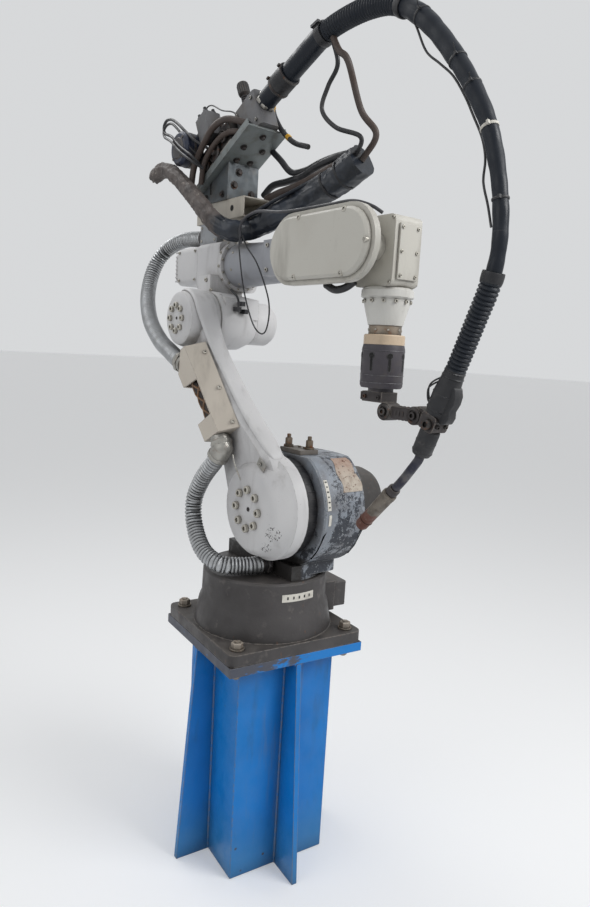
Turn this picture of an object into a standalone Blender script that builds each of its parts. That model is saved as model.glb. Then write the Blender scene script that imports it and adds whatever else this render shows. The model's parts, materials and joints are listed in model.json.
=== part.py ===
"""Welding robot arm on a steel pedestal, built as named solids in metres with Z up.

Origin on the floor under the middle of the pedestal.
+X is the way the forearm points and Y runs along the axes of joints 2, 3 and 5.
"""
import math

import bmesh
import bpy
from mathutils import Matrix, Vector

# Fits
GAP = 0.0003
CUT = 0.010

# Axes of the joints
J2_X, J2_Z = 0.087, 1.000
J3_X, J3_Z = -0.185, 1.472
J4_Z = 1.630
J5_X = 0.407

# Pedestal and base
BASE_YAW = math.radians(-5.0)
COLUMN_SIDE, COLUMN_WALL = 0.290, 0.008
TOP_PLATE_SIDE, TOP_PLATE_LOW, TOP_PLATE_THICK = 0.400, 0.604, 0.0257
FIN_THICK, FIN_REACH_TOP, FIN_REACH_FOOT = 0.015, 0.200, 0.240
FLANGE_SIDE, FLANGE_CORNER, FLANGE_LOW, FLANGE_TOP = 0.400, 0.022, 0.630, 0.661
BASE_PROFILE = [(0.0, 0.640), (0.192, 0.640), (0.190, 0.664), (0.179, 0.722), (0.172, 0.738),
                (0.170, 0.806), (0.164, 0.812), (0.0, 0.812)]
BOSS_HALF, BOSS_END, BOSS_LOW, BOSS_TOP = 0.062, 0.200, 0.672, 0.758
CONNECTOR_HALF, CONNECTOR_DEEP, CONNECTOR_LOW, CONNECTOR_TOP = 0.052, 0.046, 0.676, 0.750

# Turret
FOOT_RADIUS, FOOT_LOW, FOOT_TOP, FOOT_FRONT = 0.156, 0.8123, 0.852, -0.024
COLUMN_X, COLUMN_Y, COLUMN_TOP, COLUMN_CORNER = (-0.060, 0.152), (0.0, 0.130), 0.990, 0.020
DRUM_PROFILE = [(0.0, 0.0), (0.156, 0.0), (0.160, 0.004), (0.160, 0.130), (0.130, 0.150), (0.0, 0.150)]
SEAL_PROFILE = [(0.0, -0.0300), (0.124, -0.0300), (0.128, -0.026), (0.128, -0.0003), (0.0, -0.0003)]
J2_MOTOR_PROFILE = [(0.0, 0.1503), (0.090, 0.1503), (0.090, 0.245), (0.080, 0.268), (0.0, 0.268)]
DRUM_FLAT = 0.137
LIFT_X, LIFT_Y, LIFT_THICK = (0.032, 0.122), (0.006, 0.066), 0.012
LOWER_FITTING_X, LOWER_FITTING_Z, LOWER_FITTING_RADIUS = 0.060, 0.838, 0.020
LOWER_FITTING_Y = (-0.058, -0.0303)

# Lower arm: stations along the line from joint 2 to joint 3
HUB2_PROFILE = [(0.0, -0.0303), (0.110, -0.0303), (0.138, -0.036), (0.138, -0.070), (0.128, -0.080),
                (0.120, -0.108), (0.108, -0.121), (0.100, -0.125), (0.0, -0.125)]
HUB3_PROFILE = [(0.0, -0.1055), (0.074, -0.1055), (0.076, -0.112), (0.076, -0.172), (0.070, -0.192),
                (0.058, -0.200), (0.0, -0.200)]
BEAM_STATIONS = [(0.000, 0.112, -0.104, -0.036), (0.090, 0.106, -0.108, -0.036),
                 (0.150, 0.088, -0.114, -0.040), (0.210, 0.069, -0.122, -0.048),
                 (0.280, 0.058, -0.134, -0.062), (0.370, 0.053, -0.148, -0.084),
                 (0.440, 0.054, -0.160, -0.108), (0.545, 0.062, -0.172, -0.112)]
BEAM_CHAMFER = 0.012
COVER_LOW, COVER_TOP = 0.205, 0.448
COVER_SECTION = [(0.052, 0.001), (0.022, 0.050), (-0.046, 0.054), (-0.056, 0.001)]
COVER_WALL = 0.004
COVER_NOTCH = 0.058
COVER_DEEP = 0.400
WINDOW = [(0.252, -0.080), (0.256, 0.019), (0.355, 0.019), (0.364, -0.080)]
SLEEVE_RADIUS, SLEEVE_SIDE, SLEEVE_SHARES = 0.017, -0.018, (0.4, 0.6, 0.8)
ARM_GLAND_SIDE, ARM_GLAND_OUT, GLAND_LONG = -0.010, 0.027, 0.030
ARM_GLAND_RADIUS = 0.0255

# Elbow
ELBOW_DRUM_PROFILE = [(0.0, -0.105), (0.078, -0.105), (0.080, -0.095), (0.076, -0.015), (0.060, 0.020),
                      (0.0, 0.020)]
J3_MOTOR_PROFILE = [(0.0, 0.0203), (0.060, 0.0203), (0.060, 0.080), (0.052, 0.092), (0.0, 0.092)]
ELBOW_BOX_X, ELBOW_BOX_HALF, ELBOW_BOX_Z = (-0.330, -0.205), 0.064, (1.560, 1.694)
WEB_Y = (-0.090, 0.016)
WEB_OUTLINE = [(-0.262, 1.470), (-0.115, 1.480), (-0.118, 1.535), (-0.2055, 1.548), (-0.2055, 1.600),
               (-0.275, 1.600)]
ELBOW_CORNER = 0.018
J4_COVER_X, J4_COVER_Z = (-0.452, -0.3303), (1.580, 1.690)
J4_BACK_X = (-0.478, -0.440)
J4_BACK_INSET = 0.008
J4_FLANGE_PROFILE = [(0.0, -0.2047), (0.071, -0.2047), (0.071, -0.186), (0.0, -0.186)]
GLAND_BOX_X, GLAND_BOX_Y, GLAND_BOX_Z = (-0.352, -0.258), (-0.045, 0.045), (1.6943, 1.752)
GLAND_X = (-0.398, -0.352)
GLAND_Z = 1.724
GLAND_RADIUS = 0.027

# Forearm: the neck lies on joint 4 and the belt housing beside it
NECK_PROFILE = [(0.0, -0.1855), (0.061, -0.1855), (0.061, -0.168), (0.055, -0.060), (0.052, 0.090),
                (0.040, 0.110), (0.0, 0.110)]
HOUSING_BACK_X, HOUSING_RADIUS = 0.210, 0.080
HOUSING_Y = (-0.122, -0.106)
HOUSING_BODY_X, HOUSING_BODY_RADIUS, HOUSING_BODY_Y = 0.350, 0.066, (-0.110, -0.064)
PIVOT_BOSS_RADIUS, PIVOT_BOSS_Y = 0.030, (-0.112, -0.0452)
LID_RADIUS, LID_FACE_RADIUS, LID_Y = 0.070, 0.064, (-0.136, -0.1223)
NECK_BLOCK_X, NECK_BLOCK_Y, NECK_BLOCK_HALF = (0.020, 0.190), (-0.070, 0.030), 0.044

# Wrist
WRIST_X, WRIST_Y, WRIST_Z = (0.345, 0.462), (-0.0447, 0.034), (1.548, 1.694)
WRIST_CORNER = 0.014
WRIST_COVER_Y, WRIST_COVER_Z, WRIST_COVER_THICK = (-0.034, 0.024), (1.562, 1.676), 0.005
SKIRT_PROFILE = [(0.0, 1.5477), (0.052, 1.5477), (0.057, 1.542), (0.057, 1.528), (0.050, 1.524),
                 (0.050, 1.514), (0.038, 1.4683), (0.0, 1.4683)]

# Tool
OUTPUT_PROFILE = [(0.0, 1.468), (0.036, 1.468), (0.036, 1.449), (0.0, 1.449)]
RING_PROFILE = [(0.0, 1.4487), (0.043, 1.4487), (0.045, 1.446), (0.045, 1.427), (0.0, 1.427)]
SENSOR_PROFILE = [(0.0, 1.4267), (0.045, 1.4267), (0.047, 1.418), (0.047, 1.338), (0.044, 1.333),
                  (0.028, 1.333), (0.028, 1.325), (0.0, 1.325)]
CLAMP_X, CLAMP_Y, CLAMP_Z = (0.374, 0.436), (-0.024, 0.024), (1.302, 1.3247)
KNUCKLE_RADIUS, KNUCKLE_Y = 0.0195, (-0.018, 0.018)
KNUCKLE_X, KNUCKLE_Z = (0.440, 0.528), 1.284
TUBE_RADIUS = 0.014
SHANK_LONG = 0.022
BLOCK_SIZE, BLOCK_CORNER = (0.042, 0.044, 0.036), 0.008
TORCH_X, TORCH_Z, TORCH_TILT = 0.570, 1.2755, math.radians(22.3)
HANDLE_PROFILE = [(0.0, 0.0), (0.0235, 0.0), (0.0265, 0.010), (0.0265, 0.045), (0.0225, 0.080),
                  (0.0205, 0.099), (0.0, 0.099)]
BARREL_PROFILE = [(0.0, -0.0003), (0.0195, -0.0003), (0.0215, -0.006), (0.0215, -0.052), (0.0190, -0.058),
                  (0.0, -0.058)]
SWAN_RADIUS = 0.0085
SWAN_ROUTE = [(-0.0075, -0.1185), (-0.0185, -0.1545), (-0.0348, -0.1969)]
SWAN_STUB = 0.008
NOZZLE_PROFILE = [(0.0, 0.0), (0.0145, 0.0), (0.0165, 0.016), (0.0160, 0.022), (0.0150, 0.124),
                  (0.0125, 0.130), (0.0, 0.130)]

# Wire feeder on the elbow
CHANNEL_X, CHANNEL_HALF, CHANNEL_Z, CHANNEL_WALL = (-0.375, -0.122), 0.045, (1.7523, 1.806), 0.004
CHANNEL_FOOT_X, CHANNEL_FOOT_HALF = (-0.245, -0.215), 0.030
PILLAR_X, PILLAR_HALF, PILLAR_LOW, PILLAR_WALL = (-0.335, -0.200), 0.050, 1.8063, 0.004
TRAY_CENTRE, TRAY_TILT = (-0.210, -0.009, 1.9065), math.radians(-26.8)
TRAY_LONG, TRAY_WIDE, TRAY_THICK, TRAY_EDGE, TRAY_EDGE_THICK = 0.300, 0.124, 0.006, 0.014, 0.004
ROLLS_SPAN, ROLLS_Y, ROLLS_RISE = (-0.120, 0.060), (-0.052, 0.035), (0.0003, 0.085)
HEAD_SPAN, HEAD_Y, HEAD_RISE, HEAD_CORNER = (0.0603, 0.165), (-0.030, 0.030), (0.0003, 0.104), 0.010
KNOB_PROFILE = [(0.0, 0.1043), (0.012, 0.1043), (0.009, 0.150), (0.0155, 0.154), (0.0155, 0.186), (0.0, 0.186)]
KNOB_ALONG, KNOB_SIDE = 0.092, 0.0
INLET_SPAN, INLET_Y, INLET_RISE = (-0.052, 0.002), (-0.078, -0.028), (0.0853, 0.158)
FEED_MOTOR_PROFILE = [(0.0, -0.0523), (0.040, -0.0523), (0.047, -0.060), (0.047, -0.106), (0.040, -0.114),
                      (0.0, -0.114)]
FEED_MOTOR_ALONG, FEED_MOTOR_RISE = -0.112, 0.108
CABLE_RISE = 0.067

# Hoses
CONDUIT_RADIUS, FEED_SLEEVE_RADIUS, HOSE_RADIUS = 0.0235, 0.025, 0.008
BUNDLE_RADIUS, BUNDLE_END_RADIUS = 0.030, 0.043
TORCH_CABLE_RADII = (0.0235, 0.0185, 0.0195)
CONDUIT_STEP, HOSE_STEP = 0.050, 0.030
LOWER_CONDUIT = [(0.050, -0.110, 0.838), (0.025, -0.160, 0.843), (-0.035, -0.178, 0.866),
                 (-0.100, -0.172, 0.922), (-0.122, -0.165, 1.000), (-0.100, -0.158, 1.060)]
UPPER_CONDUIT = [(-0.260, -0.178, 1.382), (-0.340, -0.170, 1.410), (-0.470, -0.142, 1.472),
                 (-0.580, -0.100, 1.553), (-0.625, -0.060, 1.640), (-0.600, -0.030, 1.700),
                 (-0.520, -0.008, 1.728)]
BUNDLE_LEAN = math.radians(60.8)
BUNDLE_START = (-0.1196, -0.060, 1.7110)
BUNDLE_TOUCH_Y = -0.015
BUNDLE_ROUTE = [(-0.014, 0.0, 1.7521), (0.030, 0.030, 1.779), (0.0783, 0.055, 1.8062), (0.1301, 0.075, 1.8335),
                (0.1968, 0.085, 1.8667)]
SLEEVE_ROUTE = [(-0.182, -0.108, 1.742), (-0.2595, -0.118, 1.8068), (-0.3648, -0.120, 1.8758),
                (-0.4427, -0.120, 1.9075), (-0.510, -0.120, 1.895)]
HOSE_ROUTE = [(0.238, 0.088, 1.918), (0.210, 0.060, 1.9715), (0.2122, 0.010, 2.0646), (0.190, 0.0, 2.090)]
HOSE_END_X, HOSE_END_Z = 0.165, 2.1262
TORCH_CABLE = [(0.0769, 0.0, 2.1241), (0.1411, 0.0, 2.1470), (0.2203, 0.0, 2.1560), (0.300, 0.0, 2.150),
               (0.370, 0.0, 2.133), (0.4411, 0.0, 2.088), (0.498, 0.0, 2.035), (0.5653, 0.0, 1.9548),
               (0.608, 0.0, 1.893), (0.6412, 0.0, 1.8353), (0.670, 0.0, 1.755), (0.686, 0.0, 1.680),
               (0.690, 0.0, 1.610), (0.678, 0.0, 1.545)]
TORCH_CABLE_BEND = (-0.001, 0.2213)
TORCH_CABLE_SHARES = (0.36, 0.87)
STUB = 0.020

TURN = 2.0 * math.pi
ROUND_STEPS = 40

BODIES = {
    "base": (0.0, 0.0, 0.0),
    "turret": (0.0, 0.0, FOOT_LOW),
    "lower_arm": (J2_X, 0.0, J2_Z),
    "elbow": (J3_X, 0.0, J3_Z),
    "forearm": (J3_X, 0.0, J4_Z),
    "wrist": (J5_X, 0.0, J4_Z),
    "tool": (J5_X, 0.0, J4_Z),
}


def clear_scene():
    for item in list(bpy.data.objects):
        bpy.data.objects.remove(item, do_unlink=True)


def material(name, colour, roughness, metallic):
    mat = bpy.data.materials.new(name)
    mat.use_nodes = True
    shader = next(n for n in mat.node_tree.nodes if n.type == "BSDF_PRINCIPLED")
    shader.inputs["Base Color"].default_value = (*colour, 1.0)
    shader.inputs["Roughness"].default_value = roughness
    shader.inputs["Metallic"].default_value = metallic
    mat.diffuse_color = (*colour, 1.0)
    return mat


def arm_paint(name):
    return material(name + "_paint", (0.72, 0.72, 0.69), 0.45, 0.0)


def grey_paint(name):
    return material(name + "_paint", (0.25, 0.26, 0.28), 0.55, 0.0)


def blue_paint(name):
    return material(name + "_paint", (0.0, 0.13, 0.52), 0.5, 0.0)


def dark_paint(name):
    return material(name + "_paint", (0.045, 0.043, 0.045), 0.5, 0.1)


def black_rubber(name):
    return material(name + "_rubber", (0.02, 0.02, 0.024), 0.6, 0.0)


def bare_steel(name):
    return material(name + "_steel", (0.50, 0.49, 0.47), 0.35, 0.9)


def brass(name):
    return material(name + "_brass", (0.45, 0.33, 0.16), 0.4, 0.8)


def beige_plastic(name):
    return material(name + "_plastic", (0.66, 0.52, 0.38), 0.5, 0.0)


def from_mesh(bm, name, body, mat, yaw=0.0):
    """Puts a mesh drawn in world metres in its own object, with the origin on the body's joint axis."""
    pivot = Vector(BODIES[body])
    bmesh.ops.recalc_face_normals(bm, faces=bm.faces)
    bmesh.ops.translate(bm, verts=bm.verts, vec=-pivot)
    mesh = bpy.data.meshes.new(name)
    bm.to_mesh(mesh)
    bm.free()
    mesh.materials.append(mat)
    obj = bpy.data.objects.new(name, mesh)
    obj.location = pivot
    obj.rotation_euler = (0.0, 0.0, yaw)
    bpy.context.scene.collection.objects.link(obj)
    mesh.shade_smooth()
    mesh.set_sharp_from_angle(angle=math.radians(35.0))
    return obj


def place(axis, a, b, along):
    """World point from two numbers across an axis and one along it."""
    return {"X": (along, a, b), "Y": (a, along, b), "Z": (a, b, along)}[axis]


def prism(points, low, high, axis="Z"):
    bm = bmesh.new()
    ends = [[bm.verts.new(place(axis, a, b, h)) for a, b in points] for h in (low, high)]
    count = len(points)
    bm.faces.new(ends[0])
    bm.faces.new(list(reversed(ends[1])))
    for i in range(count):
        j = (i + 1) % count
        bm.faces.new((ends[0][i], ends[0][j], ends[1][j], ends[1][i]))
    return bm


def lathe(profile, axis, centre, steps=ROUND_STEPS):
    """Solid of revolution: profile rows are radius and place along the axis, ends on the axis."""
    bm = bmesh.new()
    rings = []
    for radius, along in profile:
        if radius == 0.0:
            rings.append([bm.verts.new(place(axis, centre[0], centre[1], along))])
            continue
        ring = []
        for i in range(steps):
            angle = TURN * i / steps
            ring.append(bm.verts.new(place(axis, centre[0] + radius * math.cos(angle),
                                           centre[1] + radius * math.sin(angle), along)))
        rings.append(ring)
    for one, two in zip(rings, rings[1:]):
        for i in range(steps):
            j = (i + 1) % steps
            if len(one) == 1:
                bm.faces.new((one[0], two[j], two[i]))
            elif len(two) == 1:
                bm.faces.new((one[i], one[j], two[0]))
            else:
                bm.faces.new((one[i], one[j], two[j], two[i]))
    return bm


def loft(sections):
    bm = bmesh.new()
    rings = [[bm.verts.new(p) for p in section] for section in sections]
    count = len(rings[0])
    bm.faces.new(rings[0])
    bm.faces.new(list(reversed(rings[-1])))
    for one, two in zip(rings, rings[1:]):
        for i in range(count):
            j = (i + 1) % count
            bm.faces.new((one[i], one[j], two[j], two[i]))
    return bm


def rectangle(xs, ys, corner=0.0, steps=4):
    """Corner points of a rectangle, with its corners rounded when a radius is given."""
    (x0, x1), (y0, y1) = xs, ys
    if corner == 0.0:
        return [(x0, y0), (x1, y0), (x1, y1), (x0, y1)]
    points = []
    for cx, cy, quarter in ((x1, y0, 3), (x1, y1, 0), (x0, y1, 1), (x0, y0, 2)):
        mx = cx - corner if cx == x1 else cx + corner
        my = cy - corner if cy == y1 else cy + corner
        for i in range(steps + 1):
            angle = math.radians(90.0) * (quarter + i / steps)
            points.append((mx + corner * math.cos(angle), my + corner * math.sin(angle)))
    return points


def stadium(x0, x1, z, radius, steps=14):
    points = []
    for cx, start in ((x1, -0.5), (x0, 0.5)):
        for i in range(steps + 1):
            angle = math.pi * (start + i / steps)
            points.append((cx + radius * math.cos(angle), z + radius * math.sin(angle)))
    return points


def boolean(bm, others, operation):
    """Mesh joined with or cut by other meshes, worked out once and kept as plain faces."""
    def temporary(source):
        bmesh.ops.recalc_face_normals(source, faces=source.faces)
        mesh = bpy.data.meshes.new("temporary")
        source.to_mesh(mesh)
        source.free()
        obj = bpy.data.objects.new("temporary", mesh)
        bpy.context.scene.collection.objects.link(obj)
        return obj
    main = temporary(bm)
    tools = [temporary(other) for other in others]
    for tool in tools:
        modifier = main.modifiers.new("join", "BOOLEAN")
        modifier.operation = operation
        modifier.solver = "EXACT"
        modifier.object = tool
    graph = bpy.context.evaluated_depsgraph_get()
    result = bmesh.new()
    result.from_object(main, graph)
    for obj in [main] + tools:
        mesh = obj.data
        bpy.data.objects.remove(obj, do_unlink=True)
        bpy.data.meshes.remove(mesh)
    bmesh.ops.remove_doubles(result, verts=result.verts, dist=GAP / 10)
    return result


def joined(bm, *others):
    return boolean(bm, others, "UNION")


def cut(bm, *others):
    return boolean(bm, others, "DIFFERENCE")


def box(xs, ys, zs, corner=0.0, axis="Z"):
    """Box with the edges along one axis rounded."""
    if axis == "Z":
        return prism(rectangle(xs, ys, corner), zs[0], zs[1], "Z")
    if axis == "X":
        return prism(rectangle(ys, zs, corner), xs[0], xs[1], "X")
    return prism(rectangle(xs, zs, corner), ys[0], ys[1], "Y")


def both(half):
    return (-half, half)


def smooth_route(points, step):
    """Even points on a smooth curve through the route."""
    knots = [Vector(p) for p in points]
    knots = [2 * knots[0] - knots[1]] + knots + [2 * knots[-1] - knots[-2]]
    route = []
    for a, b, c, d in zip(knots, knots[1:], knots[2:], knots[3:]):
        pieces = max(1, math.ceil((c - b).length / step))
        for i in range(pieces):
            t = i / pieces
            route.append(0.5 * (2 * b + (c - a) * t + (2 * a - 5 * b + 4 * c - d) * t * t
                                + (3 * b - a - 3 * c + d) * t * t * t))
    route.append(knots[-2])
    return route


def split_route(points, shares):
    """Cuts a line of points in the middle of its steps, so that both cut ends point the same way."""
    pieces = []
    rest = list(points)
    for share in shares:
        last = round(share * (len(points) - 1)) - (len(points) - len(rest))
        middle = (rest[last] + rest[last + 1]) / 2
        way = (rest[last + 1] - rest[last]).normalized() * GAP / 2
        pieces.append(rest[:last + 1] + [middle - way])
        rest = [middle + way] + rest[last + 1:]
    pieces.append(rest)
    return pieces


def hose(name, route, radius, body, mat, step=HOSE_STEP, end_radius=None):
    points = smooth_route(route, step)
    hose_through(name, points, radius, body, mat, end_radius)
    return points


def hose_through(name, points, radius, body, mat, end_radius=None, sides=3):
    """Round hose through the points, growing evenly from one radius to the other."""
    pivot = Vector(BODIES[body])
    data = bpy.data.curves.new(name, "CURVE")
    data.dimensions = "3D"
    data.resolution_u = 1
    data.render_resolution_u = 0
    data.bevel_depth = radius
    data.bevel_resolution = sides
    data.use_fill_caps = True
    spline = data.splines.new("POLY")
    spline.points.add(len(points) - 1)
    for i, (slot, point) in enumerate(zip(spline.points, points)):
        slot.co = (*(point - pivot), 1.0)
        slot.radius = 1.0 + ((end_radius or radius) / radius - 1.0) * i / (len(points) - 1)
    spline.use_smooth = True
    data.materials.append(mat)
    obj = bpy.data.objects.new(name, data)
    obj.location = pivot
    bpy.context.scene.collection.objects.link(obj)
    return obj


# Pedestal and base

def pedestal_column():
    half = COLUMN_SIDE / 2
    zs = (0.0, TOP_PLATE_LOW - GAP)
    outer = box(both(half), both(half), zs)
    inner = box(both(half - COLUMN_WALL), both(half - COLUMN_WALL), (-CUT, TOP_PLATE_LOW + CUT))
    from_mesh(cut(outer, inner), "pedestal_column", "base", blue_paint("pedestal_column"), BASE_YAW)


def pedestal_fin(name, quarter):
    root = COLUMN_SIDE / 2 + GAP
    top = TOP_PLATE_LOW - GAP
    outline = [(root, 0.0), (FIN_REACH_FOOT, 0.0), (FIN_REACH_TOP, top), (root, top)]
    bm = prism(outline, -FIN_THICK / 2, FIN_THICK / 2, "Y")
    bmesh.ops.rotate(bm, verts=bm.verts, matrix=Matrix.Rotation(math.radians(90.0) * quarter, 3, "Z"))
    from_mesh(bm, name, "base", blue_paint(name), BASE_YAW)


def pedestal_top_plate():
    half = TOP_PLATE_SIDE / 2
    bm = box(both(half), both(half), (TOP_PLATE_LOW, TOP_PLATE_LOW + TOP_PLATE_THICK))
    from_mesh(bm, "pedestal_top_plate", "base", blue_paint("pedestal_top_plate"), BASE_YAW)


def base_casting():
    half = FLANGE_SIDE / 2
    flange = box(both(half), both(half), (FLANGE_LOW, FLANGE_TOP), FLANGE_CORNER)
    body = lathe(BASE_PROFILE, "Z", (0.0, 0.0))
    boss = box(both(BOSS_HALF), (0.0, BOSS_END), (BOSS_LOW, BOSS_TOP))
    from_mesh(joined(flange, body, boss), "base_casting", "base", dark_paint("base_casting"), BASE_YAW)


def base_connector_box():
    low = BOSS_END + GAP
    bm = box(both(CONNECTOR_HALF), (low, low + CONNECTOR_DEEP), (CONNECTOR_LOW, CONNECTOR_TOP))
    from_mesh(bm, "base_connector_box", "base", dark_paint("base_connector_box"), BASE_YAW)


# Turret

def turret_casting():
    outline = []
    for i in range(ROUND_STEPS):
        angle = TURN * i / ROUND_STEPS
        outline.append((FOOT_RADIUS * math.cos(angle), max(FOOT_FRONT, FOOT_RADIUS * math.sin(angle))))
    foot = prism([p for i, p in enumerate(outline) if p[1] > FOOT_FRONT
                  or outline[i - 1][1] > FOOT_FRONT or outline[(i + 1) % ROUND_STEPS][1] > FOOT_FRONT],
                 FOOT_LOW, FOOT_TOP)
    column = box(COLUMN_X, COLUMN_Y, (FOOT_LOW + CUT, COLUMN_TOP), COLUMN_CORNER)
    drum = lathe(DRUM_PROFILE, "Y", (J2_X, J2_Z))
    across, deep, high = DRUM_PROFILE[2][0], DRUM_PROFILE[-1][1], J2_Z + DRUM_FLAT
    flat = box((J2_X - across, J2_X + across), (-CUT, deep + CUT), (high, J2_Z + across + CUT))
    drum = cut(drum, flat)
    from_mesh(joined(drum, column, foot), "turret_casting", "turret", grey_paint("turret_casting"))


def turret_seal():
    bm = lathe(SEAL_PROFILE, "Y", (J2_X, J2_Z))
    from_mesh(bm, "joint_2_seal", "turret", black_rubber("joint_2_seal"))


def joint_2_motor():
    bm = lathe(J2_MOTOR_PROFILE, "Y", (J2_X, J2_Z))
    from_mesh(bm, "joint_2_motor_cover", "turret", grey_paint("joint_2_motor_cover"))


def lifting_plate():
    low = J2_Z + DRUM_FLAT + GAP
    bm = box(LIFT_X, LIFT_Y, (low, low + LIFT_THICK))
    from_mesh(bm, "lifting_plate", "turret", bare_steel("lifting_plate"))


def lower_fitting():
    profile = [(0.0, LOWER_FITTING_Y[0]), (LOWER_FITTING_RADIUS, LOWER_FITTING_Y[0]),
               (LOWER_FITTING_RADIUS, LOWER_FITTING_Y[1]), (0.0, LOWER_FITTING_Y[1])]
    bm = lathe(profile, "Y", (LOWER_FITTING_X, LOWER_FITTING_Z))
    from_mesh(bm, "lower_conduit_fitting", "turret", dark_paint("lower_conduit_fitting"))


# Lower arm

def arm_frame():
    """Unit vectors along the lower arm and across it towards the front."""
    along = Vector((J3_X - J2_X, 0.0, J3_Z - J2_Z)).normalized()
    return along, Vector((along.z, 0.0, -along.x))


def arm_point(station, across, y):
    along, front = arm_frame()
    point = Vector((J2_X, 0.0, J2_Z)) + along * station + front * across
    return (point.x, y, point.z)


def beam_outside(station):
    """Where the outer face of the beam lies at a station."""
    for one, two in zip(BEAM_STATIONS, BEAM_STATIONS[1:]):
        if station <= two[0]:
            share = (station - one[0]) / (two[0] - one[0])
            return one[2] + (two[2] - one[2]) * share
    return BEAM_STATIONS[-1][2]


def lower_arm():
    sections = []
    for station, half, outer, inner in BEAM_STATIONS:
        c = BEAM_CHAMFER
        ring = [(half, inner - c), (half, outer + c), (half - c, outer), (-half + c, outer),
                (-half, outer + c), (-half, inner - c), (-half + c, inner), (half - c, inner)]
        sections.append([arm_point(station, n, y) for n, y in ring])
    beam = loft(sections)
    hub2 = lathe(HUB2_PROFILE, "Y", (J2_X, J2_Z))
    hub3 = lathe(HUB3_PROFILE, "Y", (J3_X, J3_Z))
    from_mesh(joined(hub2, beam, hub3), "lower_arm", "lower_arm", arm_paint("lower_arm"))


def cover_ring(station, inset, sink):
    """Section of the cable cover at a station, drawn in by a wall and sunk past its open side."""
    ring = []
    for across, out in COVER_SECTION:
        across -= math.copysign(inset, across)
        out = out - inset if out > CUT else -sink + GAP
        ring.append(arm_point(station, across, beam_outside(station) - out))
    return ring


def cover_notch(inset):
    """Corner cut off the cover's top, where the upper conduit comes in."""
    top, side = COVER_TOP + CUT - inset, COVER_SECTION[3][0] - CUT
    reach = COVER_NOTCH + 2 * CUT
    points = [arm_point(s, n, 0.0)[::2] for s, n in
              ((top, side + reach), (top + 2 * CUT, side + reach), (top + 2 * CUT, side - CUT),
               (top - reach, side - CUT), (top - reach, side))]
    return prism(points, -COVER_DEEP, 0.0, "Y")


def cable_cover():
    between = [row[0] for row in BEAM_STATIONS if COVER_LOW < row[0] < COVER_TOP]
    stations = [COVER_LOW] + between + [COVER_TOP]
    outer = loft([cover_ring(s, 0.0, 0.0) for s in stations])
    inside = [min(max(s, COVER_LOW + COVER_WALL), COVER_TOP - COVER_WALL) for s in stations]
    inner = loft([cover_ring(s, COVER_WALL, CUT) for s in inside])
    window = prism([arm_point(s, n, 0.0)[::2] for s, n in WINDOW], -COVER_DEEP,
                   beam_outside(WINDOW[2][0]) - CUT, "Y")
    outer = cut(outer, cover_notch(0.0))
    inner = cut(inner, cover_notch(COVER_WALL))
    from_mesh(cut(outer, inner, window), "cable_cover", "lower_arm", arm_paint("cable_cover"))


def cable_sleeve():
    """Braided sleeve round the cables behind the cover's window, from the lower wall up."""
    low = COVER_LOW + COVER_WALL + GAP
    start = beam_outside(COVER_LOW) - ARM_GLAND_OUT
    route = [arm_point(low, ARM_GLAND_SIDE, start), arm_point(low + STUB, ARM_GLAND_SIDE, start)]
    for share in SLEEVE_SHARES:
        station = COVER_LOW + (COVER_TOP - COVER_LOW) * share
        route.append(arm_point(station, SLEEVE_SIDE, beam_outside(station) - ARM_GLAND_OUT))
    hose("cable_sleeve", route, SLEEVE_RADIUS, "lower_arm", brass("cable_sleeve"), CONDUIT_STEP)


def upper_gland_line():
    """Middle of the notch's face and the way the conduit leaves it."""
    along, front = arm_frame()
    way = (along - front).normalized()
    top, side = COVER_TOP, COVER_SECTION[3][0]
    middle = Vector(arm_point(top - COVER_NOTCH / 2, side + COVER_NOTCH / 2, 0.0))
    middle.y = beam_outside(COVER_TOP) - ARM_GLAND_OUT
    return middle, way


def gland(start, end, radius):
    """Round fitting whose axis runs between two points."""
    line = Vector(end) - Vector(start)
    bm = lathe([(0.0, 0.0), (radius, 0.0), (radius, line.length), (0.0, line.length)], "Z", (0.0, 0.0))
    turn = Vector((0.0, 0.0, 1.0)).rotation_difference(line)
    bmesh.ops.transform(bm, matrix=Matrix.Translation(start) @ turn.to_matrix().to_4x4(), verts=bm.verts)
    return bm


def arm_glands():
    low = arm_point(COVER_LOW - GAP, ARM_GLAND_SIDE, beam_outside(COVER_LOW) - ARM_GLAND_OUT)
    low_end = arm_point(COVER_LOW - GLAND_LONG, ARM_GLAND_SIDE, beam_outside(COVER_LOW) - ARM_GLAND_OUT)
    bm = gland(low, low_end, ARM_GLAND_RADIUS)
    from_mesh(bm, "lower_arm_gland", "lower_arm", bare_steel("lower_arm_gland"))
    start, way = upper_gland_line()
    bm = gland(start + way * GAP, start + way * GLAND_LONG, ARM_GLAND_RADIUS)
    from_mesh(bm, "upper_arm_gland", "lower_arm", bare_steel("upper_arm_gland"))


# Elbow

def elbow_casting():
    drum = lathe(ELBOW_DRUM_PROFILE, "Y", (J3_X, J3_Z))
    housing = box(ELBOW_BOX_X, both(ELBOW_BOX_HALF), ELBOW_BOX_Z, ELBOW_CORNER, "X")
    web = prism(WEB_OUTLINE, WEB_Y[0], WEB_Y[1], "Y")
    from_mesh(joined(drum, housing, web), "elbow_casting", "elbow", arm_paint("elbow_casting"))


def joint_3_motor():
    bm = lathe(J3_MOTOR_PROFILE, "Y", (J3_X, J3_Z))
    from_mesh(bm, "joint_3_motor_cover", "elbow", arm_paint("joint_3_motor_cover"))


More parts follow.
